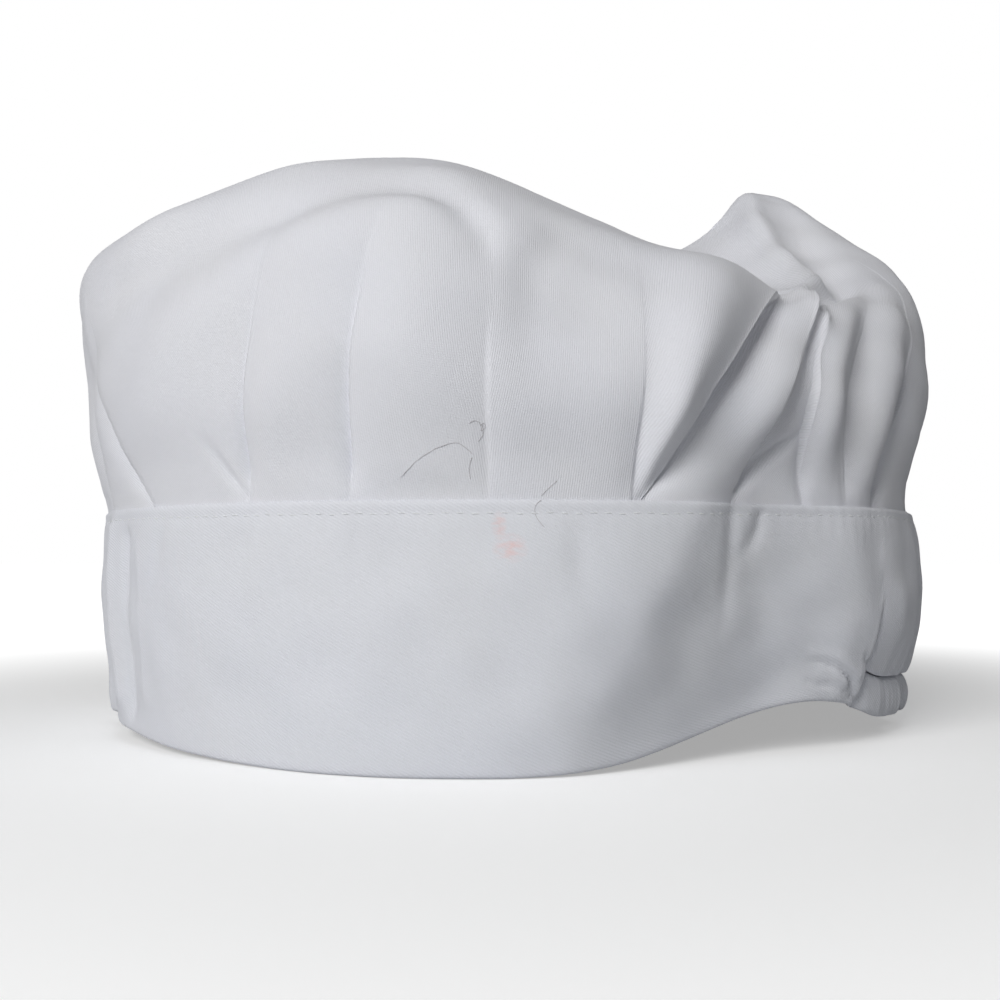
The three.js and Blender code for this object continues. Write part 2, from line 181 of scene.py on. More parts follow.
def through(stations: list[tuple[float, Array]], t: Array) -> Array:
    """Return a smooth curve through stations whose values differ from place to place.

    Args:
        stations: Pairs of a parameter and the values there. The last only steers the slope.
        t: Where the curve is read.

    Returns:
        The cubic between neighbouring stations whose slopes come from the stations beside them.
    """
    result = np.zeros(np.broadcast(t, stations[0][1]).shape)
    for k in range(len(stations) - 2):
        (t_a, a), (t_b, b), (t_after, after) = stations[k:k + 3]
        t_before, before = stations[max(k - 1, 0)]
        slope_a = (b - before) / (t_b - t_before)
        slope_b = (after - a) / (t_after - t_a)
        piece = cubic((t - t_a) / (t_b - t_a), t_b - t_a, (a, b), (slope_a, slope_b))
        last = k == len(stations) - 3
        inside = (t >= t_a) if last else (t >= t_a) & (t < t_b)
        result = np.where(inside, piece, result)
    return result


def pushes(table: Table, azimuth: Array, height: Array, column: str) -> Array:
    """Return the sum of soft pushes at places on a surface.

    Args:
        table: Rows with azimuth, the height column, wide, high and push.
        azimuth: Degrees.
        height: The other place, in the unit of the height column.
        column: Name of the height column.

    Returns:
        Millimetres outwards: each push times a bell of its two half widths.
    """
    total = np.zeros(np.broadcast(azimuth, height).shape)
    for middle, level, wide, high, push in zip(
        table["azimuth"], table[column], table["wide"], table["high"], table["push"]
    ):
        side = wrapped(azimuth - middle) / wide
        rise = (height - level) / high
        total += push * np.exp(-side * side - rise * rise)
    return total


def folds(
    paths: list[list[list[float]]], azimuth: Array, height: Array, scale: tuple[float, float]
) -> Array:
    """Return the sum of soft ridges and furrows that run along bent paths.

    Args:
        paths: The points of each path in order: azimuth, the other place, half width and push.
        azimuth: Degrees.
        height: The other place, in the unit of the paths' own.
        scale: Millimetres for one degree, and for one unit of the other place.

    Returns:
        Millimetres outwards: for each path the push times a bell of the distance to its nearest
        part, where push and half width change evenly from point to point.
    """
    shape = np.broadcast(azimuth, height).shape
    total = np.zeros(shape)
    for path in paths:
        points = np.array(path, dtype=float)
        nearest = np.full(shape, np.inf)
        nearest_push = np.zeros(shape)
        for begin, end in zip(points[:-1], points[1:]):
            x = wrapped(azimuth - begin[0]) * scale[0]
            y = (height - begin[1]) * scale[1]
            line = (end[:2] - begin[:2]) * np.array(scale)
            share = np.clip((x * line[0] + y * line[1]) / (line @ line), 0.0, 1.0)
            away = (x - share * line[0]) ** 2 + (y - share * line[1]) ** 2
            half_width = mixed(begin[2], end[2], share)
            push = mixed(begin[3], end[3], share) * np.exp(-away / half_width ** 2)
            closer = away < nearest
            nearest = np.where(closer, away, nearest)
            nearest_push = np.where(closer, push, nearest_push)
        total += nearest_push
    return total


def unevenness(x: Array, y: Array, longest: float, height: float, waves: int = 9) -> Array:
    """Return the slight unevenness of cloth that has been worn and washed.

    Args:
        x: Millimetres across the cloth.
        y: Millimetres up the cloth.
        longest: Longest wave, in millimetres.
        height: Height of the longest wave, in millimetres.
        waves: How many waves are added.

    Returns:
        A sum of waves, each turned by the golden angle from the last, shorter and lower.
    """
    golden, start = 2.39996, 1.7
    shorter, bend_height, bend_turn = 0.38, 0.9, 1.2
    total = np.zeros(np.broadcast(x, y).shape)
    for k in range(waves):
        shrink = 1.0 + shorter * k
        turn = golden * k
        sideways = x * math.cos(turn + bend_turn) + y * math.sin(turn + bend_turn)
        bend = bend_height * np.sin(sideways / longest)
        run = x * math.cos(turn) + y * math.sin(turn)
        total += height / shrink * np.sin(2 * math.pi * run * shrink / longest + start * k + bend)
    return total


# Meshes


def make_object(
    name: str,
    points: Array,
    quads: Array,
    triangles: Array | None = None,
    uv: Array | None = None,
) -> bpy.types.Object:
    """Return a smooth object from arrays, standing at the origin.

    Args:
        name: The object's name.
        points: Corner places in metres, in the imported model's frame.
        quads: Corner numbers of the four-sided faces.
        triangles: Corner numbers of the three-sided faces, or none.
        uv: One pair for each corner of each face, quads first, or none.

    Returns:
        The object, linked to the scene.
    """
    faces = quads.tolist() + ([] if triangles is None else triangles.tolist())
    mesh = bpy.data.meshes.new(name)
    mesh.from_pydata(points.tolist(), [], faces)
    mesh.polygons.foreach_set("use_smooth", np.ones(len(faces), dtype=bool))
    if uv is not None:
        layer = mesh.uv_layers.new(name="cloth")
        layer.data.foreach_set("uv", uv.astype(np.float32).ravel())
    mesh.update()
    piece = bpy.data.objects.new(name, mesh)
    bpy.context.scene.collection.objects.link(piece)
    return piece


def grid_faces(rows: int, columns: int, closed: bool) -> Array:
    """Return the four-sided faces of a grid of points.

    Args:
        rows: Number of rows of points.
        columns: Number of columns of points.
        closed: Whether the last column joins the first.

    Returns:
        Corner numbers in the order low left, low right, high right, high left.
    """
    index = np.arange(rows * columns).reshape(rows, columns)
    right = np.roll(index, -1, axis=1)
    keep = slice(None) if closed else slice(0, columns - 1)
    corners = [index[:-1, keep], right[:-1, keep], right[1:, keep], index[1:, keep]]
    return np.stack(corners, axis=-1).reshape(-1, 4)


def grid_uv(uv: Array, longest: Array | float = math.inf) -> Array:
    """Return the corner pairs of a grid.

    Args:
        uv: Pairs for rows of points, with one column more than the grid's faces.
        longest: Longest step to the next column, one for all or one a column. A longer one, over
            cloth hidden in a tuck, is cut to it.

    Returns:
        Four pairs a face, in the order of its corners.
    """
    left = uv[:, :-1]
    step = uv[:, 1:] - left
    length = np.maximum(np.linalg.norm(step, axis=-1, keepdims=True), TINY)
    right = left + step * np.minimum(1.0, np.reshape(longest, (1, -1, 1)) / length)
    corners = [left[:-1], right[:-1], right[1:], left[1:]]
    return np.stack(corners, axis=-2).reshape(-1, 2)


def thicken(piece: bpy.types.Object, thickness: float, offset: float) -> None:
    """Give a surface the thickness of its cloth.

    Args:
        piece: The surface, with its faces outwards.
        thickness: Millimetres.
        offset: -1 puts it all behind the surface, and 0 half on each side.
    """
    wall = piece.modifiers.new("cloth", "SOLIDIFY")
    wall.thickness = thickness * METRES
    wall.offset = offset
    wall.use_even_offset = False
    wall.use_rim = True


def tubes(paths: list[Array], radius: float, sides: int = 5) -> tuple[Array, Array]:
    """Return closed round tubes along paths.

    Args:
        paths: Lists of points in millimetres, one path a tube.
        radius: Radius of the tube in millimetres, which shrinks to a tip at both ends.
        sides: Sides of its section.

    Returns:
        Points in millimetres and four-sided faces.
    """
    aside, tip_share = np.array([0.31, 0.17, 0.93]), 0.15
    points = []
    faces = []
    start = 0
    ring = np.arange(sides) * 2 * math.pi / sides
    for path in paths:
        ahead = unit(np.gradient(path, axis=0))
        across = unit(np.cross(ahead, aside))
        above = np.cross(ahead, across)
        swell = np.full(len(path), radius)
        swell[[0, -1]] = tip_share * radius
        cosine, sine = np.cos(ring)[None, :, None], np.sin(ring)[None, :, None]
        spokes = cosine * across[:, None] + sine * above[:, None]
        points.append((path[:, None] + spokes * swell[:, None, None]).reshape(-1, 3))
        faces.append(grid_faces(len(path), sides, closed=True) + start)
        start += len(path) * sides
    return np.concatenate(points), np.concatenate(faces)


# Shapes


class Face(Enum):
    """The two faces of the band, with the side of the cloth that looks away from it."""

    OUTER = -1.0
    INNER = 1.0


@dataclass(frozen=True)
class HeadOpening:
    """The ring that the band follows: half an ellipse in front and a flatter one behind."""

    half_width: float = 104.0
    front_depth: float = 100.0
    back_depth: float = 46.0
    side_cosine: float = 0.5

    def depth(self, azimuth: Array) -> Array:
        """Return the depth of the half ellipse on that side, in millimetres."""
        return np.where(np.cos(np.radians(azimuth)) > 0, self.front_depth, self.back_depth)

    def point(self, azimuth: Array) -> Array:
        """Return the ring's point: width times the sine, less depth times the cosine."""
        angle = np.radians(azimuth)
        return np.stack([self.half_width * np.sin(angle), -self.depth(azimuth) * np.cos(angle)], axis=-1)

    def rounded(self, azimuth: Array) -> Array:
        """Return a point like the ring's, whose depth changes evenly past both sides.

        Args:
            azimuth: Degrees.

        Returns:
            Pairs in millimetres: the depth is mixed where the cosine of the azimuth is small.
        """
        angle = np.radians(azimuth)
        front = eased(np.cos(angle) / (2 * self.side_cosine) + 0.5)
        depth = mixed(self.back_depth, self.front_depth, front)
        return np.stack([self.half_width * np.sin(angle), -depth * np.cos(angle)], axis=-1)

    def outward(self, azimuth: Array) -> Array:
        """Return the direction straight out of the ring.

        Args:
            azimuth: Degrees.

        Returns:
            Unit pairs: each half ellipse's own direction across itself.
        """
        angle = np.radians(azimuth)
        slopes = [np.sin(angle) / self.half_width, -np.cos(angle) / self.depth(azimuth)]
        return unit(np.stack(slopes, axis=-1))

    def beside(self, azimuth: Array, away: Array) -> Array:
        """Return the ring's point moved straight out by that many millimetres."""
        return self.point(azimuth) + self.outward(azimuth) * away[..., None]

    def length_to(self, azimuths: Array) -> Array:
        """Return the ring's length from the first azimuth to each one of a rising list."""
        steps = np.linalg.norm(np.diff(self.point(azimuths), axis=0), axis=1)
        return np.concatenate([[0.0], np.cumsum(steps)])


# Soft pushes over the band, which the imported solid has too
BAND_DENTS = Table(
    "azimuth v wide high push",
    [
        [-4, 0.65, 16, 0.5, -1.0],
        [-58, 0.4, 4, 0.65, 1.0],
        [-66, 0.4, 3.5, 0.65, -1.2],
    ],
)

# Where worn cloth has drawn in or filled out against the even band
BAND_DRAWS = Table(
    "azimuth v wide high push",
    [
        [-92, 1.0, 28, 0.25, -2.6],
        [-92, 0.1, 34, 0.5, -3.0],
        [-13, 0.0, 14, 0.45, 1.6],
        [26, 0.0, 16, 0.35, -3.2],
        [33, 0.2, 17, 0.7, -3.4],
        [58, 0.35, 6, 0.4, 1.0],
    ],
)

# Creases over the band. Each point is azimuth and height in millimetres, half width and push.
BAND_FOLDS = [
    # Pulls under the crown's front creases
    [[-42.5, 50, 1.2, 0.0], [-43.5, 44, 1.8, -0.6], [-46.0, 30, 1.8, 0.0]],
    [[-28.8, 50, 1.2, 0.0], [-29.2, 44, 2.0, -0.5], [-30.0, 33, 2.0, 0.0]],
    [[-15.8, 50, 1.2, 0.0], [-15.5, 44, 1.6, -0.3], [-15.0, 38, 1.6, 0.0]],
    [[7.0, 48, 1.6, 0.0], [7.5, 40, 2.2, -0.35], [8.5, 28, 2.2, 0.0]],
    # Two pulls under the big folds on the wearer's left, and the ridge between them
    [[26.0, 49, 1.4, -0.6], [26.2, 40, 1.8, -0.8], [26.0, 20, 2.0, 0.0]],
    [[31.0, 49, 1.2, -0.5], [30.3, 44, 1.4, -0.7], [27.6, 39, 1.4, -0.2]],
    [[28.6, 48, 2.4, 0.5], [27.8, 42, 2.0, 0.2]],
    # Upright folds on the wearer's right
    [[-58.5, 46, 2.4, 1.0], [-57.0, 8, 2.8, 1.0]],
    [[-53.0, 44, 2.2, -1.0], [-53.5, 6, 2.6, -1.2]],
    [[-64.0, 46, 2.2, -1.4], [-63.0, 8, 2.4, -1.4]],
    [[-48.5, 40, 2.0, 0.3], [-48.5, 10, 2.4, 0.4]],
    # Creases that fan out in front of the casing's start, and the puffs between them
    [
        [39.8, 11.2, 0.7, -0.2],
        [42.0, 10.6, 0.7, -0.7],
        [44.4, 9.2, 0.7, -0.6],
        [46.6, 5.8, 0.7, -0.9],
        [48.6, 1.6, 0.8, -0.7],
    ],
    [[40.4, 13.0, 1.4, 0.2], [43.5, 11.6, 1.5, 0.6], [47.5, 8.0, 1.4, 0.7]],
    [[40.2, 5.4, 0.6, -0.3], [43.4, 4.2, 0.6, -0.7], [45.4, 3.8, 0.6, -0.3], [47.6, 2.0, 0.6, -0.7]],
    [[42.0, 8.0, 1.3, 0.3], [45.5, 5.4, 1.3, 0.6]],
    [[51.0, 17.0, 1.6, 0.0], [50.0, 11.0, 1.2, -1.1], [49.4, 1.0, 1.1, -1.5]],
    [[48.6, 12.6, 0.9, -0.7], [50.0, 10.5, 0.9, -0.9]],
]

# How far the rim is lifted off the floor, in millimetres
RIM = Table(
    "azimuth lift",
    [
        [-180, 0],
        [-120, 0],
        [-85, 2.5],
        [-62, 3],
        [-42, 1],
        [-25, 0],
        [0, 0],
        [12, 1.2],
        [22, 4.5],
        [31, 8],
        [40, 10.5],
        [47, 9.5],
        [55, 5.5],
        [64, 4.2],
        [82, 2.5],
        [115, 0],
        [180, 0],
    ],
)


@dataclass
class BandShape:
    """The surface of the band, which the crown and the casing follow too."""

    opening: HeadOpening = field(default_factory=HeadOpening)
    height: float = 51.0
    wall: float = 1.5
    casing_height: float = 9.0
    casing_start: float = 51.0
    casing_end: float = 286.0
    ripple_count: int = 24
    ripple_low: float = 1.3
    ripple_high: float = 0.35
    gather_fade: float = 12.0
    edge_step: float = 1.5
    bow: float = 1.2
    rim_tuck: float = 2.2
    hollow_start: float = 5.5
    hollow_slant: float = 16.8
    hollow_middle: float = 31.0
    hollow_end: float = 48.0
    hollow_depth: tuple[float, float] = (3.2, 4.0)
    hollow_swell: float = 1.9
    hollow_edge: float = 2.0
    stitch_drop: float = 2.4
    furrow_depth: float = 0.1
    furrow_width: float = 0.75
    pucker: Drift = Drift(0.06, 2 * math.pi / 3.3, 1.4, 1 / 7.1)
    pucker_reach: float = 3.5
    crowd: Drift = Drift(0.55, 2.37, 1.1, 0.31)
    crowd_reach: float = 0.3
    wave_length: float = 46.0
    wave_height: float = 0.22
    still_edge: float = 0.03
    casing_draw: float = 1.0
    draw_reach: float = 0.07
    calm_until: float = 85.0
    calm_share: float = 0.2
    girth: float = 573.0

    def gathered(self, azimuth: Array) -> Array:
        """Return where the elastic gathers the cloth.

        Args:
            azimuth: Degrees.

        Returns:
            1 along the elastic, falling to 0 in front of its ends.
        """
        at = turned(azimuth)
        begins = eased((at - self.casing_start + self.gather_fade) / self.gather_fade)
        return begins * eased((self.casing_end + self.gather_fade - at) / self.gather_fade)

    def over_casing(self, azimuth: Array) -> Array:
        """Return where the casing is.

        Args:
            azimuth: Degrees.

        Returns:
            1 over the casing, falling to 0 over a short step in front of its ends.
        """
        at = turned(azimuth)
        begins = eased((at - self.casing_start + self.edge_step) / self.edge_step)
        return begins * eased((self.casing_end + self.edge_step - at) / self.edge_step)

    def ripple_wave(self, azimuth: Array) -> Array:
        """Return the angle of the gathers' wave, one turn for each gather."""
        share = (turned(azimuth) - self.casing_start) / (self.casing_end - self.casing_start)
        return 2 * math.pi * self.ripple_count * share

    def ripple(self, azimuth: Array, v: Array) -> Array:
        """Return the height of the gathers, in millimetres, which is lower towards the seam."""
        height = mixed(self.ripple_low, self.ripple_high, v) * self.lively(azimuth)
        return self.gathered(azimuth) * height * np.sin(self.ripple_wave(azimuth))

    def lively(self, azimuth: Array) -> Array:
        """Return the share of the gathers' height, which grows behind the casing's start."""
        behind = (turned(azimuth) - self.casing_start) / (self.calm_until - self.casing_start)
        return mixed(self.calm_share, 1.0, eased(behind))

    def crowded(self, azimuth: Array, v: Array) -> Array:
        """Return the shorter gathers between the even ones, which die out upwards."""
        lasting = np.exp(-v / self.crowd_reach) * self.lively(azimuth)
        return self.gathered(azimuth) * lasting * self.crowd.at(self.ripple_wave(azimuth))

    def plain_out(self, azimuth: Array, v: Array) -> Array:
        """Return how far the outer face stands out of the ring, without gathers or creases.

        Args:
            azimuth: Degrees.
            v: Share of the band's height.

        Returns:
            Millimetres: a bow, less the tuck of the rim, with the soft pushes, less the hollow.
        """
        bow = self.bow * (1 + np.sin(np.radians(azimuth)))
        swell = bow * np.sin(math.pi * v) - self.rim_tuck * (1 - v) ** 2
        return swell + pushes(BAND_DENTS, azimuth, v, "v") - self.hollow(azimuth, v)

    def hollow(self, azimuth: Array, v: Array) -> Array:
        """Return the depth of the broad hollow between the front and the casing's start.

        Args:
            azimuth: Degrees.
            v: Share of the band's height.

        Returns:
            Millimetres: a parabola from an edge that slants over the band down to the hollow's
            middle, and an S-curve from there back to the surface.
        """
        at = wrapped(azimuth)
        start = self.hollow_start + self.hollow_slant * v
        past = ((at - start) + np.sqrt((at - start) ** 2 + self.hollow_edge ** 2)) / 2
        share = np.clip(past / (self.hollow_middle - start), 0.0, 1.0)
        back = eased((at - self.hollow_middle) / (self.hollow_end - self.hollow_middle))
        depth = mixed(*self.hollow_depth, v) + self.hollow_swell * np.sin(math.pi * v)
        return depth * (1 - (1 - share) ** 2) * (1 - back)

    def fine_out(self, azimuth: Array, v: Array) -> Array:
        """Return the creases, the stitched groove and the unevenness, in millimetres outwards.

        Args:
            azimuth: Degrees.
            v: Share of the band's height.

        Returns:
            The sum of the crease lines, a furrow under the topstitching with puckers beside it,
            low waves, worn places, and the draw of the elastic near the lower edge.
        """
        run = np.radians(wrapped(azimuth)) * self.opening.half_width
        z = v * self.height
        below_edge = self.height - z
        drop = below_edge - self.stitch_drop
        pucker = self.pucker.at(run)
        furrow = -(self.furrow_depth + pucker) * np.exp(-((drop / self.furrow_width) ** 2))
        fans = pucker * np.exp(-np.abs(drop) / self.pucker_reach)
        draw = -self.casing_draw * self.gathered(azimuth) * np.exp(-v / self.draw_reach)
        lines = folds(BAND_FOLDS, azimuth, z, (math.radians(1) * self.opening.half_width, 1.0))
        inside = np.clip(v, self.still_edge, 1 - self.still_edge)
        waves = unevenness(run, z, self.wave_length, self.wave_height) * np.sin(math.pi * inside) ** 0.5
        worn = pushes(BAND_DRAWS, azimuth, v, "v")
        return furrow + fans + lines + waves + worn + draw + self.crowded(azimuth, v)

    def out(self, azimuth: Array, v: Array) -> Array:
        """Return how far the outer face stands out of the ring, in millimetres."""
        return self.plain_out(azimuth, v) + self.ripple(azimuth, v) + self.fine_out(azimuth, v)

    def rim_height(self, azimuth: Array) -> Array:
        """Return how far the rim is lifted off the surface, in millimetres."""
        return np.maximum(RIM.around("lift", azimuth), 0.0)

    def place(self, azimuth: Array, v: Array, inwards: Array) -> Array:
        """Return points of the band.

        Args:
            azimuth: Degrees.
            v: Share of the height, from the lower edge at 0 to the seam at 1.
            inwards: Millimetres behind the outer face.

        Returns:
            Points in millimetres: the ring's point moved straight out, at the height between
            the lower edge and the seam.
        """
        low = self.rim_height(azimuth) + self.over_casing(azimuth) * self.casing_height
        flat = self.opening.beside(azimuth, self.out(azimuth, v) - inwards)
        return raised(flat, mixed(low, self.height, v))


# The crown's profile round the hat: reach as a share of the ring's, and height in millimetres
SECTIONS = Table(
    "azimuth bulge bulge_z shoulder shoulder_z crest crest_z",
    [
        [-180, 1.29, 84, 1.26, 103, 0.82, 124],
        [-150, 1.22, 83, 1.2, 103, 0.84, 120],
        [-120, 1.1, 83, 1.1, 104, 0.88, 116],
        [-95, 1.02, 84, 1.062, 107.5, 0.92, 115.5],
        [-75, 1.01, 82, 1.065, 109.5, 0.925, 117],
        [-60, 1.025, 82, 1.035, 108, 0.88, 119.5],
        [-45, 1.03, 82, 0.99, 109, 0.79, 125.7],
        [-30, 1.025, 82, 0.955, 112, 0.63, 130.8],
        [-15, 1.025, 82, 0.93, 113, 0.54, 131.5],
        [0, 1.025, 81, 0.92, 109, 0.54, 125],
        [15, 1.02, 80, 0.9, 103, 0.56, 116.8],
        [30, 1.01, 77, 0.9, 97, 0.61, 107.3],
        [45, 1.01, 76, 0.93, 95, 0.69, 102.5],
        [60, 1.015, 80, 0.96, 99, 0.78, 104.5],
        [75, 1.015, 82, 0.99, 111, 0.72, 120],
        [83, 1.025, 83, 0.955, 120, 0.68, 130.5],
        [91, 1.035, 84, 0.885, 128.5, 0.665, 139],
        [100, 1.045, 84, 0.865, 131.5, 0.66, 143],
        [112, 1.09, 84, 0.92, 128, 0.7, 140],
        [127, 1.16, 84, 1.03, 121, 0.75, 134],
        [150, 1.25, 84, 1.17, 109, 0.78, 130],
        [180, 1.29, 84, 1.26, 103, 0.82, 124],
    ],
)

# A tuck's crease passes through base, mid and top. crease is its depth, spread how far the cloth
# beside it sinks, and tip where it ends. left, middle and right are the swell of the panel after
# it, which ends at fade. lap is how far the panel before it lies over the panel after it, or, if
# negative, the other way round.
FRONT_TUCKS = Table(
    "base mid top crease tip left middle right fade lap spread",
    [
        [-62, -70.5, -85, 1.4, 0.4, 1.0, 1.5, 1.4, 0.55, 0.0, 5],
        [-45.2, -61.3, -75, 2.6, 0.42, 1.8, 1.6, 0.4, 0.45, -1.4, 5],
        [-29, -27.6, -24, 2.2, 0.52, 1.2, 0.8, 0.2, 0.5, -0.3, 3.6],
        [-16.3, -14.9, -9, 2.2, 0.54, 1.7, 1.5, 0.4, 0.5, -0.4, 3.2],
        [-1.7, -1.5, -0.6, 0.6, 0.46, 0.9, 0.3, 0.4, 0.44, 0.0, 3],
        [13.3, 14.6, 17, 1.0, 0.34, 0.2, 4.6, 2.6, 0.66, 0.0, 4],
        [14.3, 26.0, 49.0, 3.7, 0.7, -2.2, -0.6, 2.6, 0.8, 0.8, 5.5],
        [26.3, 35.0, 52.0, 2.6, 0.44, -1.4, -1.6, -1.0, 0.75, 0.6, 3.5],
        [37.4, 38.2, 56.0, 1.6, 0.55, 1.4, 2.2, 0.0, 0.62, -0.1, 3],
        [44.0, 45.6, 70, 2.0, 0.62, -0.6, 3.2, 1.0, 0.62, 0.0, 8],
        [51.0, 60.5, 78, 4.2, 0.42, 2.4, 3.0, 2.0, 0.6, -0.4, 6],
        [71.0, 80, 88, 3.5, 0.45, 2.0, 4.0, 2.0, 0.6, 1.5, 6],
    ],
)

# How the tucks that the photo does not show vary: a mean, and the swing, turn and start of a sine
BACK_TUCKS = {
    "base": (0.0, 1.5, 2.4, 0.0),
    "mid": (0.0, 3.0, 1.7, 1.0),
    "top": (0.0, 4.0, 1.7, 1.0),
    "crease": (4.5, 1.0, 2.4, 0.0),
    "tip": (0.46, 0.08, 3.1, 0.0),
    "left": (2.5, 0.0, 0.0, 0.0),
    "middle": (4.0, 1.5, 2.4, 0.0),
    "right": (1.0, 0.0, 0.0, 0.0),
    "fade": (0.64, 0.0, 0.0, 0.0),
    "lap": (1.2, 0.6, 2.4, 0.0),
    "spread": (6.0, 0.0, 0.0, 0.0),
}

# Soft pushes over the crown
CROWN_DENTS = Table(
    "azimuth t wide high push",
    [
        [7, 0.37, 8, 0.13, -3.6],
        [-10, 0.38, 5, 0.12, 1.2],
        [31, 0.655, 8, 0.08, -5.0],
        [57, 0.63, 6, 0.06, 2.0],
        [142, 0.68, 20, 0.1, -6.0],
        [-86, 0.58, 17, 0.1, -4.5],
        [-50, 0.55, 14, 0.1, -1.5],
        [85, 0.5, 18, 0.12, -1.6],
        [80, 0.13, 25, 0.12, -2.0],
        [-15, 0.66, 22, 0.07, -1.5],
        [44, 0.08, 4, 0.07, 1.3],
    ],
)

# Folds over the crown. Each point is azimuth and share of the profile, half width and push.
CROWN_FOLDS = [
    # A short fold beside the crease at -29 degrees
    [[-29.3, 0.01, 0.8, -0.6], [-31.2, 0.06, 1.0, -1.1], [-33.6, 0.12, 1.3, -0.5], [-35.0, 0.15, 1.6, 0.0]],
    # The arched hollow over the front panels
    [
        [-66, 0.41, 8.0, 0.0],
        [-56, 0.425, 10.0, -3.4],
        [-46, 0.435, 10.0, -4.8],
        [-37, 0.45, 9.0, -4.8],
        [-30, 0.473, 8.0, -4.4],
        [-24, 0.485, 6.5, -3.7],
        [-18, 0.495, 6.2, -3.3],
        [-13, 0.5, 5.2, -3.1],
        [-9, 0.495, 4.2, -2.8],
        [-5.5, 0.47, 3.4, -2.4],
        [-2.4, 0.43, 3.0, -1.4],
        [-1.4, 0.38, 3.0, 0.0],
    ],
    # The ridge that runs up to the peak
    [
        [40.5, 0.36, 3.0, 0.0],
        [42, 0.46, 3.2, 1.8],
        [46, 0.54, 3.0, 2.8],
        [54, 0.61, 2.8, 3.4],
        [63, 0.65, 2.6, 3.6],
        [74, 0.67, 2.6, 3.6],
        [86, 0.672, 2.6, 3.0],
        [98, 0.665, 4.0, 1.2],
        [112, 0.66, 4.0, 0.0],
    ],
    # The hollow on the inner side of the ridge
    [
        [58, 0.7, 6.0, -2.0],
        [75, 0.73, 8.0, -4.5],
        [100, 0.745, 10.0, -4.6],
        [122, 0.75, 9.0, -6.0],
        [145, 0.74, 9.0, -3.0],
    ],
    # A shallow furrow beside the middle crease
    [
        [2.6, 0.18, 4.0, 0.0],
        [2.4, 0.3, 4.0, -0.5],
        [3.0, 0.4, 4.0, -0.8],
        [6.5, 0.445, 4.0, -1.0],
        [13, 0.45, 4.4, -0.6],
    ],
    # The furrow on the outer side of the ridge
    [
        [42.5, 0.44, 3.0, 0.0],
        [47, 0.52, 4.0, -1.6],
        [55, 0.575, 4.2, -2.4],
        [66, 0.61, 4.4, -2.6],
        [78, 0.62, 4.4, -2.4],
        [92, 0.61, 5.0, -1.0],
    ],
    # The short dark fold under the biggest one
    [[36.0, 0.175, 1.0, -0.4], [33.5, 0.14, 1.6, -1.7], [29.5, 0.08, 1.2, -1.5], [27.2, 0.03, 0.8, -0.6]],
]


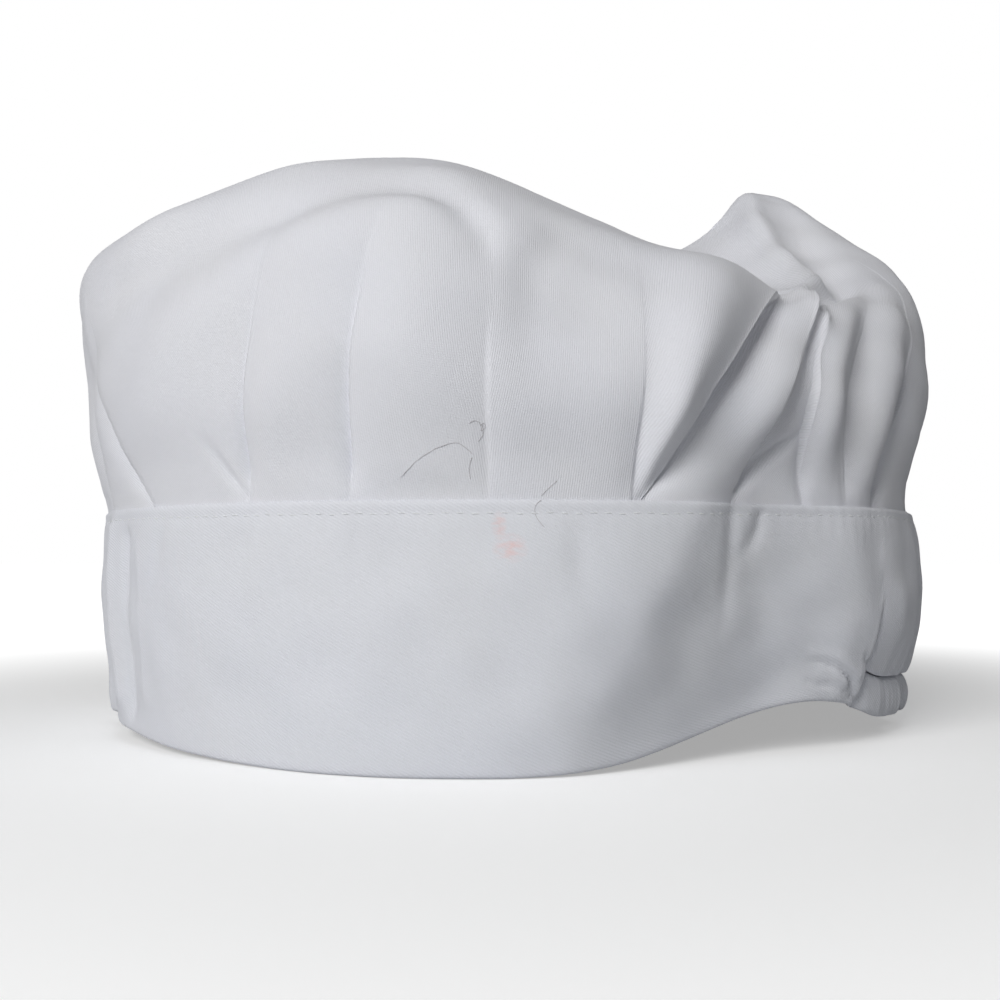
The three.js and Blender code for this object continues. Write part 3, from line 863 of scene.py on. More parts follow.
@dataclass
class CrownShape:
    """The surface of the crown: a smooth bag with tucks, dents and creases laid over it."""

    band: BandShape
    top_height: float = 113.0
    gap: float = 0.3
    low_t: float = 0.08
    bulge_t: float = 0.3
    shoulder_t: float = 0.48
    crest_t: float = 0.66
    inner_t: float = 0.82
    low_share: float = 0.3
    low_rise: float = 0.22
    inner_reach: float = 0.36
    inner_rise: float = 5.0
    inner_tilt: float = 2.5
    inner_saddle: float = 5.0
    peak_azimuth: float = 120.0
    saddle_azimuth: float = 128.0
    mid_t: float = 0.34
    tip_t: float = 0.62
    back_tuck_count: int = 14
    back_span: tuple[float, float] = (88.0, 284.0)
    yielding: float = 16.0
    yields_from: int = 10
    yields_over: int = 3
    early_fade: float = 0.12
    early_tucks: int = 3
    early_over: int = 2
    seam_depth: float = 0.48
    even_from: float = 0.12
    even_over: float = 0.3
    crease_round: float = 0.14
    round_growth: tuple[float, float] = (0.8, 4.0)
    low_growth: tuple[float, float] = (0.35, 2.2)
    high_growth: tuple[float, float] = (0.9, 3.5)
    shift_growth: tuple[float, float] = (1.6, 7.0)
    high_share: float = 0.4
    seam_strength: float = 0.3
    full_lap: float = 1.2
    fades_from: float = 0.35
    joins_from: float = 0.45
    joins_over: float = 0.4
    swells_over: float = 0.22
    swell_lasts: float = 0.5
    wave_length: float = 44.0
    wave_height: float = 0.3
    wave_count: int = 4
    wave_lean: float = 0.4
    waves_over: float = 0.1
    profile_steps: int = 201
    profile_count: int = 24

    def __post_init__(self) -> None:
        """Sort the tucks round the hat, starting behind its right side."""
        rows = np.concatenate([FRONT_TUCKS.rows, self.back_tucks()])
        rows[:, :3] -= np.where(rows[:, :1] > FULL_TURN / 2, FULL_TURN, 0.0)
        order = np.argsort(rows[:, 0])
        self.tucks = Table(" ".join(FRONT_TUCKS.columns), rows[order].tolist())
        self.tuck_count = len(order)
        t = np.linspace(0.0, 1.0, self.profile_steps)
        even = np.linspace(-180.0, 180.0, self.profile_count, endpoint=False)
        azimuth, share = np.meshgrid(even, t)
        steps = np.linalg.norm(np.diff(self.smooth(azimuth, share), axis=0), axis=-1).mean(axis=1)
        self.run_up = np.concatenate([[0.0], np.cumsum(steps)])
        self.run_at = t

    def back_tucks(self) -> Array:
        """Return the tucks that the photograph does not show.

        Returns:
            Rows as in the table of tucks: evenly set, each a little different. The swell of the
            first few ends early, under the peak. The last few lean back, out of the way of the
            leaning tucks in front of them.
        """
        k = np.arange(self.back_tuck_count)
        vary = {
            name: mean + swing * np.sin(turn * k + start)
            for name, (mean, swing, turn, start) in BACK_TUCKS.items()
        }
        even = mixed(*self.back_span, k / (self.back_tuck_count - 1))
        yielding = self.yielding * eased((k - self.yields_from) / self.yields_over)
        vary["base"] += even
        vary["mid"] += even - yielding / 2
        vary["top"] += even - yielding
        vary["fade"] -= self.early_fade * eased((self.early_tucks - k) / self.early_over)
        return np.stack([vary[name] for name in FRONT_TUCKS.columns], axis=1)

    def tuck(self, column: str, k: Array) -> Array:
        """Return a column of the tucks by number, going on past the last with the first again.

        Args:
            column: Name of the column.
            k: Number of the tuck.

        Returns:
            The column's values, with a full turn added to places past the last tuck.
        """
        values = self.tucks[column][k % self.tuck_count]
        is_place = column in ("base", "mid", "top")
        return values + (FULL_TURN * (k // self.tuck_count) if is_place else 0.0)

    def crease_azimuth(self, k: Array, t: Array) -> Array:
        """Return where a tuck's crease runs.

        Args:
            k: Number of the tuck.
            t: Share of the profile.

        Returns:
            Degrees: two cubics through base, mid and top, then evened out towards the pole.
        """
        q = np.minimum(t, self.tip_t)
        base, mid, top = (self.tuck(column, k) for column in ("base", "mid", "top"))
        upper_step = self.tip_t - self.mid_t
        low_slope = (mid - base) / self.mid_t
        mid_slope = (top - base) / self.tip_t
        top_slope = (top - mid) / upper_step
        lower = cubic(q / self.mid_t, self.mid_t, (base, mid), (low_slope, mid_slope))
        upper = cubic((q - self.mid_t) / upper_step, upper_step, (mid, top), (mid_slope, top_slope))
        leaning = np.where(q < self.mid_t, lower, upper)
        even = self.tucks["base"][0] + k * FULL_TURN / self.tuck_count
        return mixed(leaning, even, eased((t - self.tip_t) / (1 - self.tip_t)))

    def smooth(self, azimuth: Array, t: Array) -> Array:
        """Return points of the crown without its folds.

        Args:
            azimuth: Degrees.
            t: Share of the profile, from the seam at 0 to the middle of the top at 1.

        Returns:
            Points in millimetres: the ring's point scaled by a smooth curve through the reach
            of each station, at the height of a smooth curve through their heights.
        """
        bulge, shoulder, crest = (SECTIONS.around(c, azimuth) for c in ("bulge", "shoulder", "crest"))
        bulge_z, shoulder_z, crest_z = (
            SECTIONS.around(c, azimuth) for c in ("bulge_z", "shoulder_z", "crest_z")
        )
        seam_z = np.full(azimuth.shape, self.band.height + self.gap)
        tilt = self.inner_tilt * np.cos(np.radians(azimuth - self.peak_azimuth))
        saddle = self.inner_saddle * np.cos(2 * np.radians(azimuth - self.saddle_azimuth))
        inner_z = self.top_height + self.inner_rise + tilt + saddle
        one = np.ones(azimuth.shape)
        past = 2 - self.inner_t
        reach = through(
            [
                (0.0, one),
                (self.low_t, 1 + self.low_share * (bulge - 1)),
                (self.bulge_t, bulge),
                (self.shoulder_t, shoulder),
                (self.crest_t, crest),
                (self.inner_t, self.inner_reach * one),
                (1.0, 0 * one),
                (past, -self.inner_reach * one),
            ],
            t,
        )
        z = through(
            [
                (0.0, seam_z),
                (self.low_t, seam_z + self.low_rise * (bulge_z - seam_z)),
                (self.bulge_t, bulge_z),
                (self.shoulder_t, shoulder_z),
                (self.crest_t, crest_z),
                (self.inner_t, inner_z),
                (1.0, self.top_height * one),
                (past, inner_z),
            ],
            t,
        )
        opening = self.band.opening
        seam = self.band.out(azimuth, one) - self.seam_depth
        away = seam * (1 - eased(t / self.bulge_t))
        high = eased(t / self.crest_t)[..., None]
        ring = mixed(opening.point(azimuth), opening.rounded(azimuth), high)
        return raised(ring * reach[..., None] + opening.outward(azimuth) * away[..., None], z)

    def directions(self, azimuth: Array, t: Array) -> tuple[Array, Array]:
        """Return the directions straight out of the smooth crown and round it.

        Args:
            azimuth: Degrees.
            t: Share of the profile.

        Returns:
            Two arrays of unit vectors, from points a small step to each side.
        """
        turn, climb = 0.3, 0.01
        around = self.smooth(azimuth + turn, t) - self.smooth(azimuth - turn, t)
        above, below = np.minimum(t + climb, 1.0), np.maximum(t - climb, 0.0)
        up = self.smooth(azimuth, above) - self.smooth(azimuth, below)
        return unit(np.cross(around, up)), unit(around)

    def joined(self, t: Array, tip: Array) -> Array:
        """Return how far the panels beside a crease have become one, which is 1 near its end."""
        return eased((t / tip - self.joins_from) / self.joins_over)

    def crease_profile(self, k: Array, distance: Array, t: Array, side: int) -> tuple[Array, Array]:
        """Return what one crease does to the panel on one side of it.

        Args:
            k: Number of the tuck.
            distance: Millimetres from the crease.
            t: Share of the profile.
            side: 1 for the panel before the crease and -1 for the panel after it.

        Returns:
            How far the cloth sinks and how far it moves round the hat, in millimetres. The lower
            panel dives in a wide bell, and the upper one keeps its height and laps over.
        """
        tip, lap, spread = (self.tuck(column, k) for column in ("tip", "lap", "spread"))
        rounding, low_reach, high_reach, shift_reach = (
            near_seam + growth * t
            for near_seam, growth in (
                self.round_growth, self.low_growth, self.high_growth, self.shift_growth
            )
        )
        lasting = 1 - eased((t / tip - self.fades_from) / (1 - self.fades_from))
        strength = lasting * mixed(self.seam_strength, 1.0, eased(t / self.low_t))
        upper = np.clip(side * lap / self.full_lap, 0.0, 1.0)
        soft = self.crease_round * spread * rounding
        away = np.sqrt(distance ** 2 + soft ** 2) - soft
        low = np.exp(-away / (spread * low_reach))
        high = self.high_share * np.exp(-away / high_reach)
        sink = self.tuck("crease", k) * strength * mixed(low, high, upper)
        shift = np.clip(side * lap, 0.0, None) * side * strength * (1 - self.joined(t, tip))
        return sink, shift * np.exp(-distance / shift_reach)

    def swell(self, k: Array, across: Array, t: Array) -> Array:
        """Return how far a panel stands out between its creases.

        Args:
            k: Number of the panel.
            across: Place between its two creases.
            t: Share of the profile.

        Returns:
            Millimetres: an S-curve from the panel's left value to its right one, with a squared
            sine between them. Above a crease's end, two panels meet at the mean of their values.
        """
        sides = []
        for own, other, crease in (("left", "right", k), ("right", "left", k + 1)):
            neighbour = k - 1 if own == "left" else k + 1
            joined = self.joined(t, self.tuck("tip", crease))
            sides.append(mixed(self.tuck(own, k), self.tuck(other, neighbour), joined / 2))
        hump = self.tuck("middle", k) - (sides[0] + sides[1]) / 2
        return mixed(sides[0], sides[1], eased(across)) + hump * np.sin(math.pi * across) ** 2

    def folded(self, k: Array, across: Array, t: Array) -> Array:
        """Return points of the folded crown.

        Args:
            k: Number of the panel, which follows the tuck of that number.
            across: Place between its two creases, from 0 to 1.
            t: Share of the profile.

        Returns:
            Points in millimetres: the smooth crown moved straight out by the panel's swell, the
            creases, dents and waves, and round the hat where one panel laps over the next.
        """
        start, end = self.crease_azimuth(k, t), self.crease_azimuth(k + 1, t)
        azimuth = mixed(start, end, across)
        width = np.radians(end - start) * self.band.opening.front_depth
        fade = mixed(self.tuck("fade", k), self.tuck("fade", k + 1), across)
        falling = eased((t / fade - self.swell_lasts) / (1 - self.swell_lasts))
        envelope = eased(t / self.swells_over) * (1 - falling)
        sink_left, shift_left = self.crease_profile(k, across * width, t, side=-1)
        sink_right, shift_right = self.crease_profile(k + 1, (1 - across) * width, t, side=1)
        scale = (math.radians(1) * self.band.opening.front_depth, self.run_up[-1])
        lines = folds(CROWN_FOLDS, azimuth, t, scale)
        even = self.smooth(azimuth, t)
        x, y, z = even[..., 0], even[..., 1], even[..., 2]
        waves = unevenness(
            x + self.wave_lean * z, y + z, self.wave_length, self.wave_height, self.wave_count
        )
        height = self.swell(k, across, t) * envelope - sink_left - sink_right + lines
        height += waves * eased(t / self.waves_over) + pushes(CROWN_DENTS, azimuth, t, "t")
        out, around = self.directions(azimuth, t)
        return even + out * height[..., None] + around * (shift_left + shift_right)[..., None]

    def flat(self, k: Array, across: Array, t: Array) -> Array:
        """Return where a point lay on the flat circle of cloth.

        Args:
            k: Number of the panel.
            across: Place between its two creases.
            t: Share of the profile.

        Returns:
            Pairs in millimetres from the circle's middle: the distance up to the top's middle,
            turned by the azimuth. Near the seam a panel's azimuths shrink towards its own
            middle, because the rest of the cloth is hidden in the tucks.
        """
        start, end = self.crease_azimuth(k, t), self.crease_azimuth(k + 1, t)
        radius = self.run_up[-1] - np.interp(t, self.run_at, self.run_up)
        middle = (self.tuck("mid", k) + self.tuck("mid", k + 1)) / 2
        shown = np.minimum(self.band.opening.half_width / np.maximum(radius, TINY), 1.0)
        shrink = mixed(shown, 1.0, eased((t - self.even_from) / self.even_over))
        angle = np.radians(middle + (mixed(start, end, across) - middle) * shrink)
        return np.stack([radius * np.sin(angle), -radius * np.cos(angle)], axis=-1)

    def on_cloth(self, azimuth: Array, t: Array) -> Array:
        """Return points of the folded crown by azimuth instead of by panel.

        Args:
            azimuth: Degrees.
            t: Share of the profile.

        Returns:
            Points in millimetres, on the panel whose creases lie on both sides of the azimuth.
        """
        k = np.arange(self.tuck_count)[:, None]
        start, end = self.crease_azimuth(k, t[None]), self.crease_azimuth(k + 1, t[None])
        across = np.mod(azimuth[None] - start, FULL_TURN) / (end - start)
        panel = np.argmin(np.where(across < 1.0, across, np.inf), axis=0)
        share = across[panel, np.arange(len(azimuth))]
        return self.folded(panel, share, t)


# Finishes


class Nodes:
    """The nodes of a material or of the world."""

    def __init__(self, owner: bpy.types.Material | bpy.types.World) -> None:
        """Turn the owner's nodes on and keep them."""
        owner.use_nodes = True
        self.tree = owner.node_tree

    def feed(self, name: str, inputs: dict) -> None:
        """Set inputs of a node that is there from the start.

        Args:
            name: The node's name.
            inputs: For each input's name a value, or another node's output.
        """
        self.fill(self.tree.nodes[name], inputs)

    def fill(self, node: bpy.types.Node, inputs: dict) -> None:
        """Set a node's inputs.

        Args:
            node: The node.
            inputs: For each input's name or number a value, or another node's output.
        """
        for socket, value in inputs.items():
            if isinstance(value, bpy.types.NodeSocket):
                self.tree.links.new(value, node.inputs[socket])
            else:
                node.inputs[socket].default_value = value

    def add(self, kind: str, output: str, inputs: dict, **settings: str) -> bpy.types.NodeSocket:
        """Add a node.

        Args:
            kind: The node's type.
            output: Name of the output that is used.
            inputs: For each input's name or number a value, or another node's output.
            settings: The node's settings, which are made before its inputs.

        Returns:
            The output that is used.
        """
        node = self.tree.nodes.new(kind)
        for name, value in settings.items():
            setattr(node, name, value)
        self.fill(node, inputs)
        return node.outputs[output]

    def place(self) -> bpy.types.NodeSocket:
        """Return the place on the object, in metres."""
        return self.add("ShaderNodeTexCoord", "Object", {})

    def noise(self, place: bpy.types.NodeSocket, scale: float, detail: float) -> bpy.types.NodeSocket:
        """Return a soft random pattern over places."""
        inputs = {"Vector": place, "Scale": scale, "Detail": detail}
        return self.add("ShaderNodeTexNoise", "Fac", inputs)

    def product(self, a: bpy.types.NodeSocket, b: bpy.types.NodeSocket) -> bpy.types.NodeSocket:
        """Return one output times another."""
        return self.add("ShaderNodeMath", "Value", {0: a, 1: b}, operation="MULTIPLY")

    def added(
        self, a: bpy.types.NodeSocket, share: float, b: bpy.types.NodeSocket
    ) -> bpy.types.NodeSocket:
        """Return a share of one output added to another."""
        return self.add("ShaderNodeMath", "Value", {0: a, 1: share, 2: b}, operation="MULTIPLY_ADD")

    def bump(self, height: bpy.types.NodeSocket, strength: float, depth: float) -> bpy.types.NodeSocket:
        """Return normals tilted by a relief whose depth is in millimetres."""
        inputs = {"Height": height, "Strength": strength, "Distance": depth * METRES}
        return self.add("ShaderNodeBump", "Normal", inputs)


@dataclass(frozen=True)
class Twill:
    """Matt white twill, whose fine ribs run one way over the cloth, with painted shade in the grooves of
    its weave.
    """

    name: str
    tint: tuple[float, float, float]
    rib_angle: float
    pitch: float = 0.56
    yarn: float = 0.3
    yarn_share: float = 0.45
    yarn_wander: float = 1.5
    fibre_scale: float = 3200.0
    fibre_detail: float = 1.0
    fibre_share: float = 1.3
    rib_depth: float = 0.055
    rib_strength: float = 0.75
    # Painted shade: the colour in the weave's grooves is multiplied down to this, and left as it is where
    # the relief reaches unshaded_from
    painted_groove_shade: float = 0.9
    unshaded_from: float = 2.2
    cloud_scale: float = 38.0
    cloud_detail: float = 3.0
    cold: tuple[float, float, float] = (0.985, 0.99, 1.01)
    warm: tuple[float, float, float] = (1.01, 1.005, 0.985)
    roughness: float = 0.88
    sheen: float = 0.18
    sheen_roughness: float = 0.5
    gloss: float = 0.25

    def cast(self, change: tuple[float, float, float]) -> tuple[float, float, float, float]:
        """Return the tint with each colour times its change."""
        return (*(colour * by for colour, by in zip(self.tint, change)), 1.0)

    def bands(
        self, nodes: Nodes, place: bpy.types.NodeSocket, direction: str, pitch: float, **inputs: float
    ) -> bpy.types.NodeSocket:
        """Return parallel bands over the cloth.

        Args:
            nodes: The material's nodes.
            place: Where on the cloth.
            direction: The axis across the bands.
            pitch: Millimetres from band to band.
            inputs: Other inputs of the wave texture.

        Returns:
            The wave, whose scale is the number of bands in two pi metres, divided by twenty.
        """
        scale = 2 * math.pi / (20.0 * pitch * METRES)
        return nodes.add(
            "ShaderNodeTexWave",
            "Fac",
            {"Vector": place, "Scale": scale, **inputs},
            wave_type="BANDS",
            bands_direction=direction,
        )

    def material(self) -> bpy.types.Material:
        """Return the material, with ribs, fibres, slight changes of colour and painted shade in the weave's
        grooves.

        Returns:
            A material that reads the piece's own flat cloth coordinates.
        """
        material = bpy.data.materials.new(self.name)
        nodes = Nodes(material)
        cloth = nodes.add("ShaderNodeUVMap", "UV", {}, uv_map="cloth")
        turn = {"Vector": cloth, "Rotation": (0.0, 0.0, math.radians(self.rib_angle))}
        place = nodes.add("ShaderNodeMapping", "Vector", turn)
        ribs = self.bands(nodes, place, "X", self.pitch)
        crossing = {"Distortion": self.yarn_wander, "Detail": 0.0, "Detail Scale": 2.0}
        yarns = self.bands(nodes, place, "Y", self.yarn, **crossing)
        weave = nodes.added(yarns, self.yarn_share, ribs)
        fibres = nodes.noise(cloth, self.fibre_scale, self.fibre_detail)
        relief = nodes.added(fibres, self.fibre_share, weave)
        clouds = nodes.noise(cloth, self.cloud_scale, self.cloud_detail)
        colours = {"Factor": clouds, "A": self.cast(self.cold), "B": self.cast(self.warm)}
        colour = nodes.add("ShaderNodeMix", "Result", colours, data_type="RGBA")
        # Painted shade: the colour is darkened where the weave's relief is low, in the grooves between the
        # ribs and the yarns
        painted_shade_range = {"Value": relief, "From Max": self.unshaded_from, "To Min": self.painted_groove_shade}
        painted_groove_shade = nodes.add("ShaderNodeMapRange", "Result", painted_shade_range)
        painted_groove_shading = {"Factor": 1.0, "A": colour, "B": painted_groove_shade}
        nodes.feed(
            "Principled BSDF",
            {
                "Base Color": nodes.add(
                    "ShaderNodeMix", "Result", painted_groove_shading, data_type="RGBA", blend_type="MULTIPLY"
                ),
                "Roughness": self.roughness,
                "Sheen Weight": self.sheen,
                "Sheen Roughness": self.sheen_roughness,
                "Specular IOR Level": self.gloss,
                "Normal": nodes.bump(relief, self.rib_strength, self.rib_depth),
            },
        )
        return material


@dataclass(frozen=True)
class Stain:
    """A faint pink mark on the cloth, in patches of a place and a size in millimetres."""

    places: tuple[tuple[float, float, float, float], ...]
    tint: tuple[float, float, float] = (0.85, 0.60, 0.60)
    bare_below: float = 0.3
    full_above: float = 0.7
    lean: float = -27.0
    stretch: float = 3.0
    blotch_scale: float = 420.0
    blotch_detail: float = 4.0
    depth: float = 1000.0

    def lay_on(self, material: bpy.types.Material, shift: Array) -> None:
        """Mix the stain into a twill material.

        Args:
            material: The material that takes it.
            shift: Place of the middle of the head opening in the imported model, in metres.
        """
        nodes = Nodes(material)
        shader = material.node_tree.nodes["Principled BSDF"]
        colour = shader.inputs["Base Color"].links[0].from_socket
        place = nodes.place()
        streaks = {
            "Vector": place,
            "Rotation": (0.0, math.radians(self.lean), 0.0),
            "Scale": (1.0, 1.0, self.stretch),
        }
        along = nodes.add("ShaderNodeMapping", "Vector", streaks)
        blotches = nodes.noise(along, self.blotch_scale, self.blotch_detail)
        limits = {"Value": blotches, "From Min": self.bare_below, "From Max": self.full_above}
        patchy = nodes.add("ShaderNodeMapRange", "Result", limits)
        for x, z, wide, high in self.places:
            patch = {
                "Vector": place,
                "Location": (x * METRES + shift[0], 0.0, z * METRES),
                "Scale": (wide * METRES, self.depth, high * METRES),
            }
            near = nodes.add("ShaderNodeMapping", "Vector", patch, vector_type="TEXTURE")
            ball = nodes.add("ShaderNodeTexGradient", "Fac", {"Vector": near}, gradient_type="SPHERICAL")
            colours = {"Factor": nodes.product(ball, patchy), "A": colour, "B": (*self.tint, 1.0)}
            colour = nodes.add("ShaderNodeMix", "Result", colours, data_type="RGBA")
        nodes.feed("Principled BSDF", {"Base Color": colour})


@dataclass(frozen=True)
class Thread:
    """Spun sewing thread."""

    name: str
    tint: tuple[float, float, float]
    twist: float = 1.1
    twist_strength: float = 0.5
    twist_depth: float = 0.05
    roughness: float = 0.8

    def material(self) -> bpy.types.Material:
        """Return the material.

        Returns:
            A plain material with a fine twist along the thread.
        """
        material = bpy.data.materials.new(self.name)
        nodes = Nodes(material)
        wave = {"Vector": nodes.place(), "Scale": self.twist / METRES}
        twist = nodes.add("ShaderNodeTexWave", "Fac", wave, bands_direction="DIAGONAL")
        nodes.feed(
            "Principled BSDF",
            {
                "Base Color": (*self.tint, 1.0),
                "Roughness": self.roughness,
                "Normal": nodes.bump(twist, self.twist_strength, self.twist_depth),
            },
        )
        return material


# Sub-assemblies


@dataclass
class SubAssembly:
    """What the sub-assemblies share: the band's surface and the place of the hat."""

    band: BandShape
    shift: Array

    def placed(self, points: Array) -> Array:
        """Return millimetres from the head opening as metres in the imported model."""
        return points * METRES + self.shift

    def report(self, piece: bpy.types.Object) -> None:
        """Log a piece's name and its number of faces."""
        LOG.info("%s: %d faces", piece.name, len(piece.data.polygons))


@dataclass
class Band(SubAssembly):
    """The band: one strip of twill folded double at the rim, with its topstitching."""

    cloth: float = 0.45
    columns: int = 600
    creased_part: tuple[float, float] = (38.03, 53.03)
    creased_columns: int = 46
    edge_places: tuple[float, ...] = (0.15, 0.5, 0.85)
    inner_rows: tuple[float, float, int] = (0.98, 0.03, 13)
    low_rows: tuple[float, float, int] = (0.025, 0.32, 15)
    middle_rows: tuple[float, float, int] = (0.35, 0.87, 15)
    edge_rows: tuple[float, ...] = (
        0.9, 0.92, 0.935, 0.945, 0.955, 0.965, 0.975, 0.985, 0.993, 0.998, 1.0
    )
    fold_rows: int = 5
    fold_height: float = 0.024
    fold_drop: float = 0.018
    edge_roll: float = 0.25
    rolls_from: float = 0.99
    stitch_length: float = 2.1
    stitch_pitch: float = 2.75
    stitch_lift: tuple[float, ...] = (-0.2, -0.02, 0.02, -0.02, -0.2)
    stitch_slant: float = 0.05
    wander: float = 0.12
    wander_pace: float = 1.9
    measured_steps: int = 4001
    thread_radius: float = 0.13

    def azimuths(self) -> Array:
        """Return the azimuths of the band's columns.

        Returns:
            Rising degrees, closer together in front of the casing's start and at both its ends.
        """
        even = np.linspace(-180.0, 180.0, self.columns, endpoint=False)
        edges = np.array([self.band.casing_start, wrapped(self.band.casing_end)])
        steps = [side * q * self.band.edge_step for side in (-1, 1) for q in self.edge_places]
        close = np.concatenate([edges + step for step in steps])
        creased = np.linspace(*self.creased_part, self.creased_columns)
        return np.unique(np.concatenate([even, close, creased]).round(2))

    def build(self) -> bpy.types.Object:
        """Return the strip: down the inner layer, round the fold at the rim and up the outer one.

        Returns:
            The object. Its grid has a row for each place on the strip's section, whose depth
            goes from the inner layer's middle to the outer layer's round the fold.
        """
        low_part, middle_part = np.linspace(*self.low_rows), np.linspace(*self.middle_rows)
        outer = np.concatenate([low_part, middle_part, self.edge_rows])
        inner = np.linspace(*self.inner_rows)
        fold_angle = np.linspace(math.pi, 0.0, self.fold_rows + 2)[1:-1]
        near, far = self.cloth / 2, self.band.wall - self.cloth / 2
        fold = (near + far) / 2 - (far - near) / 2 * np.cos(fold_angle)
        low = self.fold_height - self.fold_drop * np.sin(fold_angle)
        roll = self.edge_roll * eased((outer - self.rolls_from) / (1 - self.rolls_from))
        v = np.concatenate([inner, low, outer])
        depth = np.concatenate([np.full(len(inner), far), fold, near + roll])
        azimuth = self.azimuths()
        across, up = np.meshgrid(azimuth, v)
        points = self.band.place(across, up, np.broadcast_to(depth[:, None], up.shape))
        run = self.band.opening.length_to(np.append(azimuth, azimuth[0] + FULL_TURN))
        strip = np.where(np.arange(len(v)) < len(inner), -v, v)[:, None] * self.band.height
        uv = np.stack(np.broadcast_arrays(run[None, :], strip), axis=-1) * METRES
        faces = grid_faces(len(v), len(azimuth), closed=True)
        piece = make_object("band_cloth", self.placed(points.reshape(-1, 3)), faces, uv=grid_uv(uv))
        thicken(piece, self.cloth, offset=0.0)
        return piece

    def stitches(self) -> bpy.types.Object:
        """Return the topstitching, a short arched tube of thread for each stitch.

        Returns:
            One object of all the stitches on both faces of the band.
        """
        fine = np.linspace(-180.0, 180.0, self.measured_steps)
        run = self.band.opening.length_to(fine)
        count = int(run[-1] / self.stitch_pitch)
        lift = np.array(self.stitch_lift)
        share = np.linspace(-0.5, 0.5, len(lift)) * self.stitch_length
        starts = (np.arange(count) + 0.5) * run[-1] / count
        azimuth = np.interp(starts[:, None] + share[None, :], run, fine)
        wander = self.wander * np.sin(self.wander_pace * np.arange(count))[:, None]
        drop = self.band.stitch_drop + wander + self.stitch_slant * share[None, :]
        v = 1 - drop / self.band.height
        paths = []
        for face in Face:
            surface = self.band.wall if face is Face.INNER else 0.0
            depth = np.broadcast_to(surface + face.value * lift, azimuth.shape)
            paths += [*self.band.place(azimuth, v, depth)]
        points, faces = tubes(paths, self.thread_radius)
        return make_object("band_stitches", self.placed(points), faces)

    def dress(self, strip: bpy.types.Object, stitches: bpy.types.Object) -> None:
        """Give the strip its twill and stain and the stitches their thread.

        Args:
            strip: The folded strip.
            stitches: The topstitching.
        """
        twill = Twill("band_twill", STRIP_TINT, STRIP_RIB_ANGLE)
        material = twill.material()
        Stain(((-1.1, 46.4, 1.6, 2.8), (1.0, 42.2, 3.6, 3.0))).lay_on(material, self.shift)
        strip.data.materials.append(material)
        thread = Thread("band_thread", (0.78, 0.80, 0.83))
        stitches.data.materials.append(thread.material())
        for piece in (strip, stitches):
            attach(piece, "root")
            self.report(piece)
        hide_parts("band")


@dataclass
class Casing(SubAssembly):
    """The elastic casing: a gathered tunnel under the edge of the band's back."""

    cloth: float = 0.4
    half_thickness: float = 1.5
    inset: float = 0.6
    overlap: float = 1.3
    end_length: float = 3.6
    end_share: float = 0.3
    pinch: float = 0.15
    pinched_share: float = 0.3
    long_gathers: Drift = Drift(0.35, 3.1, 1.3, 0.7)
    short_gathers: Drift = Drift(0.22, 5.3, 0.8, 0.9)
    gather_lean: float = 1.5
    section_radius: float = 3.2
    strip_length: float = 410.0
    strip_width: float = 20.5
    columns: int = 620
    sides: int = 20

    def build(self) -> bpy.types.Object:
        """Return the tunnel: a puffed section carried along the rim from end to end.

        Returns:
            The object. Its section is an oval pinched at the stitching above it and flattened
            below, its gathers are the band's with shorter ones between, and its ends are closed.
        """
        start, end = self.band.casing_start - self.overlap, self.band.casing_end + self.overlap
        azimuth = np.linspace(start, end, self.columns)
        angle = np.linspace(0.0, 2 * math.pi, self.sides, endpoint=False)
        around, across = np.meshgrid(angle, azimuth)
        end_gap = np.minimum(across - azimuth[0], azimuth[-1] - across)
        puff = mixed(self.end_share, 1.0, np.sqrt(eased(end_gap / self.end_length)))
        height = 0.5 + 0.5 * np.sin(around)
        pinch = 1 - self.pinch * eased((height - 0.5) / 0.5)
        wave = self.band.ripple_wave(across)
        gather = self.long_gathers.at(wave, self.gather_lean * height) + self.short_gathers.at(wave)
        gather *= self.band.lively(across) * mixed(self.pinched_share, 1.0, pinch)
        away = (self.half_thickness + gather) * puff * pinch * np.cos(around)
        reach = self.band.out(across, np.zeros(across.shape)) - self.band.wall / 2 - self.inset + away
        z = self.band.rim_height(across) + height * self.band.casing_height
        points = raised(self.band.opening.beside(across, reach), z)
        tips = points[[0, -1]].mean(axis=1)
        run = self.band.opening.length_to(azimuth)
        spread = np.append(angle, 2 * math.pi) * self.section_radius
        uv = grid_uv(np.stack(np.broadcast_arrays(run[:, None], spread[None, :]), axis=-1) * METRES)
        uv = uv.reshape(-1, 4, 2)[:, ::-1].reshape(-1, 2)
        rings = np.arange(len(azimuth) * self.sides).reshape(len(azimuth), self.sides)
        caps = np.concatenate([self.cap(rings[0], rings.size), self.cap(rings[-1][::-1], rings.size + 1)])
        piece = make_object(
            "casing_cloth",
            self.placed(np.concatenate([points.reshape(-1, 3), tips])),
            grid_faces(len(azimuth), self.sides, closed=True)[:, ::-1],
            caps,
            np.concatenate([uv, np.zeros((3 * len(caps), 2))]),
        )
        thicken(piece, self.cloth, offset=-1.0)
        return piece

    def cap(self, ring: Array, tip: int) -> Array:
        """Return the triangles that close a ring of points with one in its middle."""
        return np.stack([ring, np.roll(ring, -1), np.full(len(ring), tip)], axis=-1)

    def dress(self, tunnel: bpy.types.Object) -> None:
        """Give the tunnel its twill.

        Args:
            tunnel: The casing.
        """
        twill = Twill("casing_twill", STRIP_TINT, STRIP_RIB_ANGLE)
        tunnel.data.materials.append(twill.material())
        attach(tunnel, "root")
        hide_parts("elastic_casing")
        self.report(tunnel)


